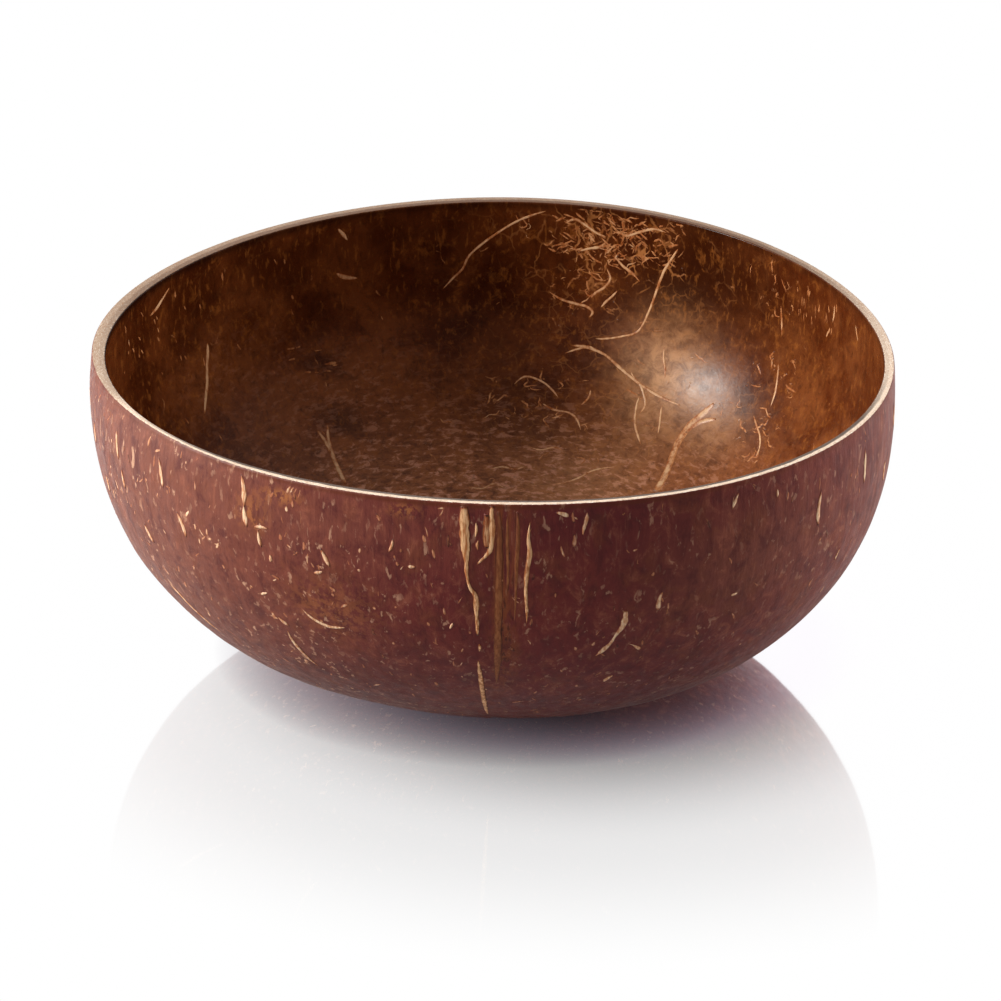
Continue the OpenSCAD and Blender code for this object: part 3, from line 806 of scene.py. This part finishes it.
# %% Strand finishes
def strand_finish(name, side, pale_low, pale_high, dark_border):
    """The wall's colour, then a dark border of painted shade, an orange brown side and a pale crest that
    is partly a painted highlight.
    """
    f = Finish(name)
    fibre = f.noise(f.grain(1.6, 0.35), 1.5)
    pale = f.mix(f.curve(fibre, 0.38, 0.62), srgb(*pale_low), srgb(*pale_high))
    # The dark border beside the strand is painted shade in its groove.
    ground = f.tint(outside_colour(f), f.value("pale"), 0.02, 0.14, dark_border, (44, 18, 12))
    pale_and_sheen = f.ragged(f.value("pale"), fibre, 0.6)
    flank = f.tint(ground, pale_and_sheen, 0.1, 0.3, 1, side)
    colour = f.mix(f.curve(pale_and_sheen, 0.26, 0.66), flank, pale)
    return f.surface(Base_Color=colour, Roughness=0.5, Normal=outside_bump(f), Specular_IOR_Level=0.3)


# The palest crest colours of the husk and seam fibres are partly painted highlights.
husk_fibre = strand_finish("husk_fibre", (180, 106, 70), (216, 146, 100), (255, 218, 178), 0.6)
seam_fibre = strand_finish("seam_fibre", (156, 80, 40), (200, 122, 70), (255, 202, 150), 0.9)
brown_fibre = strand_finish("brown_fibre", (122, 62, 32), (138, 74, 38), (164, 98, 56), 0.3)

f = Finish("food_vein")
tone = f.noise(f.grain(1, 0.5), 1.3)
tan = f.mix(f.curve(tone, 0.3, 0.7), srgb(158, 84, 40), srgb(204, 140, 90))
pale_and_sheen = f.ragged(f.value("pale"), tone, 0.5)
colour = f.mix(f.curve(pale_and_sheen, 0.06, 0.5), inside_colour(f), tan)
food_vein = oiled_surface(f, f.tint(colour, pale_and_sheen, 0.55, 0.95, 0.75, (238, 196, 150)))
print("strand finishes made")

# %% [markdown]
# ## Fibres outside
#
# The seam in front has a broad pale strand that narrows and wanders down to
# the foot, a pale patch beside it, and thinner ones to the right. Most other
# fibres are short, and lie along the grain. The paths that show are set one
# by one, and smaller ones are strewn among them with a seeded generator.

# %% Seam fibres
strand_w, husk_w, husk_len = 1.6 * MM, 1.2 * MM, 5 * MM
proud, strewn_proud, twig_proud = 0.16 * MM, 0.06 * MM, 0.05 * MM

front_seam = [
    [[265.6, 0.99, 0.8], [265.6, 0.96, 1.1], [265.6, 0.92, 1.1], [265.7, 0.88, 1.1],
     [265.8, 0.85, 0.9], [265.9, 0.82, 0.6], [265.9, 0.785, 0.45], [266.3, 0.74, 0.4],
     [267.1, 0.71, 0.6], [267.2, 0.68, 0.7], [267.2, 0.65, 0.5], [267.3, 0.61, 0.5],
     [267.3, 0.57, 0.2]],
    [[267.5, 0.54, 0], [267.6, 0.525, 0.45], [267.5, 0.505, 0]],
    [[267.2, 0.945, 0], [267.3, 0.92, 0.45], [267.1, 0.895, 0]],
    [[267.6, 0.89, 0], [267.4, 0.875, 0.4], [267.5, 0.855, 0]],
    [[269.5, 0.995, 0.4], [269.4, 0.965, 0.6], [269.5, 0.93, 0.75], [269.4, 0.89, 0.75],
     [269.2, 0.86, 0.6], [268.6, 0.84, 0.4], [267.9, 0.825, 0.35], [267.3, 0.81, 0]],
    [[268.8, 0.97, 0.6], [268.7, 0.93, 1], [268.7, 0.895, 1], [268.8, 0.865, 0.6]],
    [[267.3, 0.475, 0], [267.4, 0.44, 0.5], [267.6, 0.38, 0.6], [267.8, 0.3, 0.6],
     [268.1, 0.22, 0.5], [268.4, 0.15, 0]],
    [[274.8, 0.955, 0], [274.5, 0.9, 0.4], [274.7, 0.85, 0.6], [274.3, 0.79, 0.6],
     [274.2, 0.72, 0.4], [274.4, 0.66, 0.35], [274.4, 0.61, 0]],
]
brown_seam = [
    [[270.4, 0.98, 0.3], [270.5, 0.9, 0.7], [270.4, 0.75, 0.9], [270.3, 0.6, 0.9],
     [270.2, 0.45, 0.8], [270.1, 0.36, 0]],
    [[271.6, 0.98, 0], [271.6, 0.9, 0.5], [271.7, 0.78, 0.4], [271.5, 0.7, 0]],
    [[273, 0.98, 0.2], [273.1, 0.9, 0.6], [272.9, 0.82, 0.5], [272.8, 0.7, 0.3], [272.6, 0.6, 0]],
]
back_seam = [
    [[-2.6, 0.96, 0], [-2.8, 0.9, 0.7], [-2.5, 0.8, 0.8], [-2.2, 0.7, 0.5], [-2.4, 0.6, 0.4],
     [-2.2, 0.5, 0]],
    [[0, 0.9, 0], [0.2, 0.8, 0.6], [0, 0.65, 0.7], [0.3, 0.5, 0.7], [0.1, 0.35, 0.6], [0, 0.24, 0]],
    [[2.6, 0.97, 0], [2.4, 0.9, 0.4], [2.7, 0.8, 0.4], [2.5, 0.7, 0.6], [2.8, 0.62, 0.4],
     [2.6, 0.55, 0]],
]
front_pale = [0.85, 0.8, 0.8, 0.8, 1, 0.5, 0.75, 0.95]
made = [routed(OUTSIDE, route, strand_w, proud, pale, 10 + i, 7, 0.5)
        for i, (route, pale) in enumerate(zip(front_seam, front_pale))]
add_strands("front_seam_strands", "front_seam_fibres", OUTSIDE, made, seam_fibre)
made = [routed(OUTSIDE, route, strand_w, proud / 2, 0.7, 30 + i, 7, 0.5)
        for i, route in enumerate(brown_seam)]
add_strands("brown_seam_strands", "front_seam_fibres", OUTSIDE, made, brown_fibre)
for name, turn in (("back_right_seam", 30), ("back_left_seam", 150)):
    made = [routed(OUTSIDE, route, strand_w, proud, 0.9, turn + i, turn=turn)
            for i, route in enumerate(back_seam)]
    add_strands(name + "_strands", name + "_fibres", OUTSIDE, made, seam_fibre)

# %% [markdown]
# A set short fibre is given by its azimuth, its shares of the bowl's height
# and of the usual length, and how far it leans from upright. Those behind
# follow the golden turn.

# %% Loose husk fibres
front_long = [
    [[288.4, 0.648, 0.5], [288.5, 0.622, 0.95], [288.3, 0.59, 0.9], [287.5, 0.56, 0.55],
     [286.9, 0.532, 0.5], [286, 0.508, 0.8], [285.3, 0.492, 0.3], [284.9, 0.484, 0.1]],
    [[289.4, 0.522, 0], [290.4, 0.512, 0.25], [291.1, 0.502, 0.75], [291.6, 0.494, 0.6]],
    [[282.6, 0.975, 0], [282.5, 0.95, 0.6], [282.1, 0.92, 0.5], [282, 0.9, 0]],
]
front_short = [
    [288, 0.38, 0.6, 30], [263.5, 0.6, 0.4, 20], [279.2, 0.968, 0.5, -70], [255, 0.85, 0.5, 20],
    [258, 0.79, 0.3, 85],
]
left_long = [
    [[236.3, 0.49, 0], [236.3, 0.455, 0.6], [236.8, 0.415, 0.7], [237.8, 0.375, 0.6],
     [239, 0.345, 0]],
    [[240, 0.59, 0], [241.5, 0.56, 0.5], [243.8, 0.54, 0.6], [245.5, 0.54, 0.5], [247, 0.545, 0]],
    [[209.6, 0.475, 0], [211.5, 0.45, 0.5], [213.5, 0.416, 0.55], [216.5, 0.37, 0.4],
     [218.6, 0.345, 0]],
]
left_short = [
    [203.6, 0.88, 0.9, -15], [205, 0.785, 0.8, -10], [215.4, 0.885, 0.9, -20],
    [219.5, 0.75, 1.1, -20], [231.6, 0.935, 1.1, -8], [232.1, 0.855, 0.8, -10],
    [234.8, 0.83, 0.6, 85], [234.5, 0.795, 0.7, -8], [245, 0.78, 0.8, -25], [236, 0.74, 0.35, 0],
    [243.8, 0.73, 0.4, 70], [234, 0.61, 0.4, 60], [236.2, 0.52, 0.6, -40], [210.4, 0.65, 0.9, -25],
    [192, 0.82, 0.9, 5], [197, 0.7, 0.8, -10], [183, 0.86, 0.7, 10],
]
right_short = [
    [293.4, 0.665, 1, 5], [319.4, 0.82, 1.4, 0], [304, 0.943, 0.6, 25], [310.8, 0.93, 0.3, 0],
    [305, 0.635, 0.3, 80], [330.8, 0.86, 1.2, 0], [326, 0.62, 0.6, 15], [341, 0.76, 1, -8],
    [347, 0.88, 0.7, 10], [353, 0.66, 0.9, 0],
]
golden_turn, back_count = 137.5, 12
up_back = np.arange(back_count) / (back_count - 1)
turned = np.arange(back_count) * golden_turn % 360 / 360
back_short = np.stack([40 + 100 * turned, 0.44 + 0.46 * up_back, 0.7 + 0.5 * turned,
                       12 * np.cos(np.pi * up_back)], -1)


def strewn(count, az_from, az_to, seed, pale_from, pale_to):
    """Small fibres at random places between two azimuths, mostly along the grain. Every fourth
    has a smaller one, a twig, across it."""
    random = np.random.default_rng(seed)
    made = []
    for i in range(count):
        az = random.uniform(az_from, az_to)
        height = 1 - random.uniform(0.02, 0.93) ** 1.15
        length = husk_len * random.uniform(0.12, 0.55)
        lean = random.normal(0, 26)
        width = husk_w * random.uniform(0.22, 0.6)
        pale = random.uniform(pale_from, pale_to)
        made.append(short(OUTSIDE, az, height, length, lean, width, strewn_proud, pale, seed + i))
        if i % 4 == 0:
            lean += random.choice([-1, 1]) * random.uniform(35, 75)
            height += random.uniform(-0.2, 0.2) * length / bowl_h
            made.append(short(OUTSIDE, az, height, 0.8 * length, lean, 0.7 * width, twig_proud, pale,
                              seed + 500 + i))
    return made


def set_fibres(longs, shorts, seed):
    """The fibres that are set one by one. A longer short fibre is also wider."""
    made = [routed(OUTSIDE, route, husk_w, proud, 0.95, seed + i) for i, route in enumerate(longs)]
    for i, (az, height, length, lean) in enumerate(shorts):
        width = husk_w * min(0.9, 0.35 + 0.6 * length)
        made.append(short(OUTSIDE, az, height, length * husk_len, lean, width, proud, 0.9, seed + i))
    return made


groups = [
    ("front_husk", front_long, front_short, (250, 290), 90, (0.2, 0.6)),
    ("left_husk", left_long, left_short, (180, 250), 200, (0.25, 0.7)),
    ("right_husk", [], right_short, (290, 390), 120, (0.2, 0.5)),
    ("back_husk", [], back_short, (30, 180), 200, (0.25, 0.65)),
]
for i, (name, longs, shorts, span, count, pales) in enumerate(groups):
    made = set_fibres(longs, shorts, 100 * i + 200) + strewn(count, *span, 1000 + i, *pales)
    add_strands(name + "_strands", name + "_fibres", OUTSIDE, made, husk_fibre)

# %% [markdown]
# ## Veins inside
#
# The veins that fed the nut branch over the inner skin. The broad one and
# the long ones are given one by one. The small ones wander: each takes a random
# direction and turns a little at every step, so it looks grown.

# %% Set veins
vein_w, vein_proud, fine_proud = 0.8 * MM, 0.06 * MM, 0.04 * MM
main_vein = [
    [[77.6, 0.545, 0], [75, 0.545, 0.25], [71.5, 0.53, 0.16], [68.4, 0.5, 0.22], [64.8, 0.472, 0.2],
     [61, 0.452, 0.2], [57.5, 0.443, 0.14], [55, 0.44, 0]],
    [[78.6, 0.52, 0], [76.6, 0.535, 0.12], [74.6, 0.546, 0.18], [73, 0.54, 0]],
    [[66.6, 0.5, 0], [65.4, 0.48, 0.12], [63.8, 0.462, 0.14], [62, 0.42, 0.14], [62.6, 0.39, 0]],
    [[48.2, 0.472, 0.15], [48.9, 0.455, 0.6], [50, 0.43, 1], [51.5, 0.395, 1], [52.2, 0.35, 0.85],
     [51.8, 0.315, 0.8], [51, 0.28, 0.9], [50.6, 0.24, 1]],
    [[46.4, 0.436, 0.1], [48.4, 0.425, 0.4], [50.4, 0.405, 0.5], [51.6, 0.38, 0.3]],
]
right_veins = [
    [[63.6, 0.44, 0], [63.6, 0.41, 0.8], [63, 0.375, 1], [61.8, 0.35, 0.9], [59.6, 0.32, 0]],
    [[61.2, 0.59, 0], [60.8, 0.55, 0.8], [60, 0.52, 0.7], [59.6, 0.49, 0]],
    [[58.6, 0.43, 0], [58.4, 0.41, 0.8], [57.6, 0.375, 0.7], [57.2, 0.355, 0]],
    [[39, 0.49, 0], [36.8, 0.465, 0.7], [34.8, 0.445, 0.8], [33.4, 0.42, 0.7], [32.8, 0.39, 0]],
    [[38.6, 0.84, 0], [38.2, 0.8, 0.7], [37.8, 0.765, 0.7], [37.5, 0.735, 0]],
    [[37.2, 0.66, 0], [36.5, 0.62, 0.7], [35.8, 0.57, 0.8], [35.6, 0.52, 0]],
    [[23.2, 0.945, 0], [23.2, 0.92, 1], [23.4, 0.9, 0.8], [23.8, 0.875, 0]],
    [[24.4, 0.86, 0], [24.7, 0.845, 0.8], [25.2, 0.83, 0.8], [25.6, 0.815, 0]],
    [[15.2, 0.94, 0], [15, 0.92, 0.9], [14.6, 0.905, 0.8], [14, 0.89, 0]],
]
back_veins = [
    [[82, 0.975, 0], [84.6, 0.955, 0.7], [87.2, 0.93, 0.7], [90.2, 0.89, 0.8], [92.8, 0.85, 0.8],
     [94.6, 0.815, 0.7], [95.6, 0.775, 0.7], [97.2, 0.745, 0.6], [99.2, 0.705, 0]],
    [[82, 0.705, 0], [79.6, 0.68, 0.8], [77, 0.67, 1], [75.4, 0.665, 1], [74.4, 0.65, 0.8],
     [75, 0.63, 0]],
    [[75, 0.69, 0], [74.2, 0.71, 0.8], [72.6, 0.735, 0.8], [71.8, 0.765, 0.8], [72.6, 0.8, 0]],
    [[73.2, 0.665, 0], [72.4, 0.685, 0.8], [71.2, 0.71, 0.7], [70.4, 0.73, 0]],
    [[71.6, 0.85, 0], [70, 0.815, 0.9], [68, 0.79, 0.8], [66.6, 0.765, 0]],
    [[60, 0.91, 0], [61.2, 0.87, 0.9], [62.6, 0.82, 0.9], [63.6, 0.76, 0.8], [64.6, 0.69, 0.7],
     [66.2, 0.615, 0.6], [69, 0.59, 0.6], [72, 0.575, 0.5], [74, 0.572, 0]],
    [[79.6, 0.93, 0], [77.8, 0.95, 0.9], [76.2, 0.935, 0.9], [74.2, 0.91, 0.9], [72.4, 0.9, 0]],
    [[71.4, 0.935, 0], [69.4, 0.915, 1], [67, 0.935, 0.9], [64.4, 0.955, 0.8], [62, 0.95, 0]],
    [[77.4, 0.84, 0], [75.4, 0.855, 1], [73.6, 0.865, 1], [72.6, 0.885, 0]],
]
left_veins = [
    [[143.2, 0.72, 0], [143.5, 0.69, 0.8], [144.4, 0.65, 0.8], [145.4, 0.605, 0.9],
     [147, 0.565, 0.8], [148.8, 0.525, 0]],
    [[124, 0.385, 0.1], [125.2, 0.35, 0.8], [126, 0.31, 1.1], [126.4, 0.28, 1.2],
     [126.8, 0.25, 0.6]],
    [[126.6, 0.38, 0.1], [126, 0.35, 0.8], [126, 0.32, 0.4]],
    [[116.2, 0.96, 0], [115.6, 0.945, 0.7], [115, 0.93, 0.7], [114.4, 0.91, 0]],
    [[116.6, 0.81, 0], [115.6, 0.795, 1], [114.2, 0.785, 0.9], [112.8, 0.78, 0]],
    [[151.6, 0.96, 0], [153.6, 0.935, 0.7], [155.6, 0.915, 0.7], [157.6, 0.905, 0]],
]
floor_veins = [
    [[87.4, 0.425, 0], [86, 0.445, 0.6], [84.6, 0.452, 0.7], [82, 0.44, 0.7], [80, 0.42, 0.7],
     [78.6, 0.4, 0]],
    [[82.4, 0.39, 0], [79.4, 0.372, 0.8], [76.4, 0.368, 0.8], [74.6, 0.355, 0.8], [73, 0.325, 0]],
    [[74.4, 0.388, 0], [73.6, 0.4, 0.7], [73, 0.415, 0.7], [73, 0.435, 0]],
    [[77, 0.212, 0], [74, 0.218, 0.8], [71, 0.23, 0.9], [67.6, 0.252, 0.8], [62, 0.27, 0]],
    [[92, 0.235, 0], [89, 0.24, 0.8], [86, 0.236, 0.7], [83, 0.245, 0]],
    [[98, 0.205, 0], [94, 0.2, 0.8], [91, 0.208, 0.8], [88, 0.2, 0]],
    [[84, 0.285, 0], [81, 0.278, 0.8], [78, 0.286, 0.7], [75.5, 0.28, 0]],
]
print("set veins:", sum(map(len, (main_vein, right_veins, back_veins, left_veins, floor_veins))))

# %% Grown veins
vein_step, drift, kink = 0.45 * MM, 0.2, 0.9
fewest_steps, lowest_angle = 4, 4


def walk(az, angle, heading, length, random):
    """A walk of even steps over the inner skin, whose heading drifts by a random turn at each."""
    count = max(fewest_steps, int(length / vein_step))
    kinks = random.choice([-kink, 0, 0, 0, 0, 0, kink], count)
    heading = heading + np.cumsum(random.normal(0, drift, count) + kinks)
    angle = angle + np.degrees(np.cumsum(np.sin(heading)) * length / count / INSIDE[0])
    angle = np.clip(angle, lowest_angle, inner_top - under_rim)
    step = length / count / ring_radius(INSIDE, angle)
    return az + np.degrees(np.cumsum(np.cos(heading)) * step), angle, heading


def grown(count, az_middle, az_spread, low, high, seed, pale_from, pale_to, longest=9, twigs=0):
    """Small veins at random places, each with a few twigs that leave it to either side."""
    random = np.random.default_rng(seed)
    made = []
    for i in range(count):
        az = random.normal(az_middle, az_spread)
        angle = float(angle_at(INSIDE, random.uniform(low, high) * bowl_h))
        length = random.uniform(1.5, longest) * MM
        width = vein_w * random.uniform(0.4, 0.78)
        pale = random.uniform(pale_from, pale_to)
        paths = [walk(az, angle, random.uniform(0, 2 * np.pi), length, random)]
        for _ in range(twigs):
            at = random.integers(1, len(paths[0][0]))
            az, angle, heading = (values[at] for values in paths[0])
            side = random.choice([-1, 1]) * random.uniform(0.7, 1.5)
            paths.append(walk(az, angle, heading + side, length * random.uniform(0.2, 0.45), random))
        for j, (az, angle, heading) in enumerate(paths):
            taper = np.sin(np.linspace(0.12, np.pi - 0.12, len(az))) ** 0.4
            made.append(strand(INSIDE, az, angle, width / 2 * taper, fine_proud, pale,
                               seed + 10 * i + j, 0.4))
    return made


def dashes(count, az_from, az_to, low, high, lean, seed, pale_from, pale_to):
    """Short straight veins that lie side by side, leaning from upright by so many degrees."""
    random = np.random.default_rng(seed)
    made = []
    for i in range(count):
        az, height = random.uniform(az_from, az_to), random.uniform(low, high)
        length, tilt = random.uniform(1, 3.2) * MM, random.normal(lean, 9)
        width, pale = vein_w * random.uniform(0.5, 0.85), random.uniform(pale_from, pale_to)
        made.append(short(INSIDE, az, height, length, tilt, width, fine_proud, pale, seed + i))
    return made


# piece, node, set veins, their width, rows for grown(), rows for dashes()
vein_groups = [
    ("main_vein", "main_vein", main_vein, 1.9 * MM, [], []),
    ("right_vein_net", "right_veins", right_veins, 0.85 * vein_w, [
        (16, 39, 2.5, 0.78, 0.92, 31, 0.5, 0.9, 5, 2), (14, 36, 2.5, 0.56, 0.7, 38, 0.5, 0.8, 5, 2),
        (24, 35, 4, 0.38, 0.52, 39, 0.4, 0.8, 6, 2), (26, 62, 6, 0.3, 0.62, 32, 0.15, 0.5, 6, 1),
        (24, 20, 14, 0.4, 0.9, 40, 0.12, 0.35, 6),
    ], [(24, 21, 35, 0.83, 0.94, 0, 41, 0.3, 0.65)]),
    ("back_vein_net", "back_veins", back_veins, 0.9 * vein_w, [
        (70, 71, 4.6, 0.83, 0.97, 33, 0.35, 0.9, 7, 3), (22, 77, 3, 0.66, 0.8, 34, 0.35, 0.8, 6, 2),
        (30, 80, 9, 0.6, 0.97, 42, 0.15, 0.4, 6, 1),
    ], [(70, 61, 82, 0.83, 0.97, 62, 47, 0.25, 0.8), (50, 61, 80, 0.83, 0.97, -55, 48, 0.25, 0.8)]),
    ("left_vein_net", "left_veins", left_veins, 1.4 * vein_w, [
        (30, 145, 20, 0.3, 0.97, 35, 0.1, 0.3, 6),
    ], [(14, 150, 168, 0.8, 0.95, 20, 43, 0.4, 0.8), (10, 118, 127, 0.5, 0.62, 80, 44, 0.4, 0.7),
        (30, 105, 160, 0.35, 0.95, 10, 45, 0.25, 0.6)]),
    ("floor_vein_net", "floor_veins", floor_veins, 0.8 * vein_w, [
        (34, 84, 8, 0.3, 0.46, 36, 0.3, 0.8, 6, 2), (30, 84, 14, 0.14, 0.3, 46, 0.2, 0.6, 6, 1),
        (50, 270, 60, 0.12, 0.6, 37, 0.1, 0.4, 7),
    ], []),
]
for i, (name, node, routes, width, nets, bundles) in enumerate(vein_groups):
    made = [routed(INSIDE, route, width, vein_proud, 0.95, 600 + 20 * i + j, 6, 0.4, 0.6)
            for j, route in enumerate(routes)]
    for net in nets:
        made += grown(*net)
    for bundle in bundles:
        made += dashes(*bundle)
    add_strands(name, node, INSIDE, made, food_vein)

# %% [markdown]
# ## Table, background and light
#
# The bowl stands on polished white acrylic. Close to the foot it mirrors the
# bowl clearly, and further out the mirror image fades. The table shows as
# white to the camera without being lit that brightly, so the background
# costs the bowl no contrast. The room is bright behind and beside the bowl
# and dim in front of it, which leaves the inner wall that faces the camera
# dark. A tall soft lamp on the left does most of the lighting, and a low one
# behind on the right catches the outside's edge.

# %% Stage
table_half = 1.5
mesh = bpy.data.meshes.new("table")
square = [(x * table_half, y * table_half, 0) for x, y in ((-1, -1), (1, -1), (1, 1), (-1, 1))]
mesh.from_pydata(square, [], [(0, 1, 2, 3)])
table = bpy.data.objects.new("table", mesh)
bpy.context.collection.objects.link(table)


def seen_directly(f):
    """1 for what the camera sees itself or through glass."""
    rays = f.node("ShaderNodeLightPath").outputs
    return f.math("MAXIMUM", rays["Is Camera Ray"], rays["Is Transmission Ray"])


def grey(level):
    return (level, level, level, 1)


f = Finish("white_acrylic")
place = f.node("ShaderNodeTexCoord").outputs["Object"]
far = f.vector("DISTANCE", place, (17 * MM, 0, 0), "Value")
mirror = f.times(f.curve(far, 24 * MM, 78 * MM, 0.97, 0.2), f.curve(far, 70 * MM, 122 * MM, 1, 0))
shade = f.node("ShaderNodeAmbientOcclusion", {"Distance": 9 * MM}, samples=8).outputs["AO"]
# Near the foot, where the mirror is strongest, the white glow turns a dimmer lavender: a painted tint of
# shade round the foot.
white = f.mix(f.curve(mirror, 0.6, 0.97), grey(1), (0.92, 0.78, 1, 1))
glow = f.node("ShaderNodeEmission", {"Color": f.mix(shade, (0.36, 0.3, 0.36, 1), white)}).outputs[0]
polish = f.node("ShaderNodeBsdfGlossy", {"Color": (1, 0.99, 1, 1), "Roughness": 0.045}).outputs[0]
deep = f.node("ShaderNodeSeparateXYZ", {"Vector": place}).outputs["Y"]
# For the bowl's reflections and bounce light the table is darker in front: painted shade where the
# bowl's shadow falls.
painted_shade_in_front = f.mix(f.curve(deep, -110 * MM, 10 * MM), grey(0.3), grey(0.8))
matt = f.node("ShaderNodeBsdfDiffuse", {"Color": painted_shade_in_front}).outputs[0]
shown = f.node("ShaderNodeMixShader", {"Fac": mirror, 1: glow, 2: polish}).outputs[0]
both = f.node("ShaderNodeMixShader", {"Fac": seen_directly(f), 1: matt, 2: shown})
f.node("ShaderNodeOutputMaterial", {"Surface": both.outputs[0]})
mesh.materials.append(f.made)
print("table:", 2 * table_half, "m square")

# %% Room and lamps
f = Finish("studio", bpy.data.worlds)
bpy.context.scene.world = f.made
direction = f.node("ShaderNodeTexCoord").outputs["Generated"]
room = f.curve(f.node("ShaderNodeSeparateXYZ", {"Vector": direction}).outputs["Y"], -0.45, 0.5, 0.25, 1)
level = f.node("ShaderNodeMix", {0: seen_directly(f), 2: room, 3: 1.0}).outputs[0]
background = f.node("ShaderNodeBackground", {"Color": grey(1), "Strength": level}).outputs["Background"]
f.node("ShaderNodeOutputWorld", {"Surface": background})
lamp_distance = 0.9


def add_lamp(name, azimuth, height, width, tall, level, colour=(1, 1, 1)):
    """A soft lamp aimed at the bowl. Level 1 lights a facing surface so that its colour
    renders as it is written: the power is then pi squared times the distance squared."""
    data = bpy.data.lights.new(name, "AREA")
    data.shape = "RECTANGLE"
    data.size, data.size_y = width, tall
    data.energy = level * (math.pi * lamp_distance) ** 2
    data.color = colour
    lamp = bpy.data.objects.new(name, data)
    a, e = math.radians(azimuth), math.radians(height)
    towards_lamp = Vector((math.cos(a) * math.cos(e), math.sin(a) * math.cos(e), math.sin(e)))
    lamp.location = Vector((0, 0, bowl_h / 2)) + lamp_distance * towards_lamp
    lamp.rotation_euler = (-towards_lamp).to_track_quat("-Z", "Y").to_euler()
    bpy.context.collection.objects.link(lamp)
    return lamp


add_lamp("left_lamp", 186, 25.5, 0.2, 0.26, 0.95, (1, 0.98, 0.94))
add_lamp("left_gleam", 185, 25.5, 0.12, 0.17, 0.64, (0.8, 0.98, 1)).visible_diffuse = False
add_lamp("left_fill", 212, 20, 0.4, 0.4, 0.2)
add_lamp("right_fill", 18, 10, 0.4, 0.3, 0.74).visible_glossy = False
bpy.context.scene.view_settings.view_transform = "Standard"
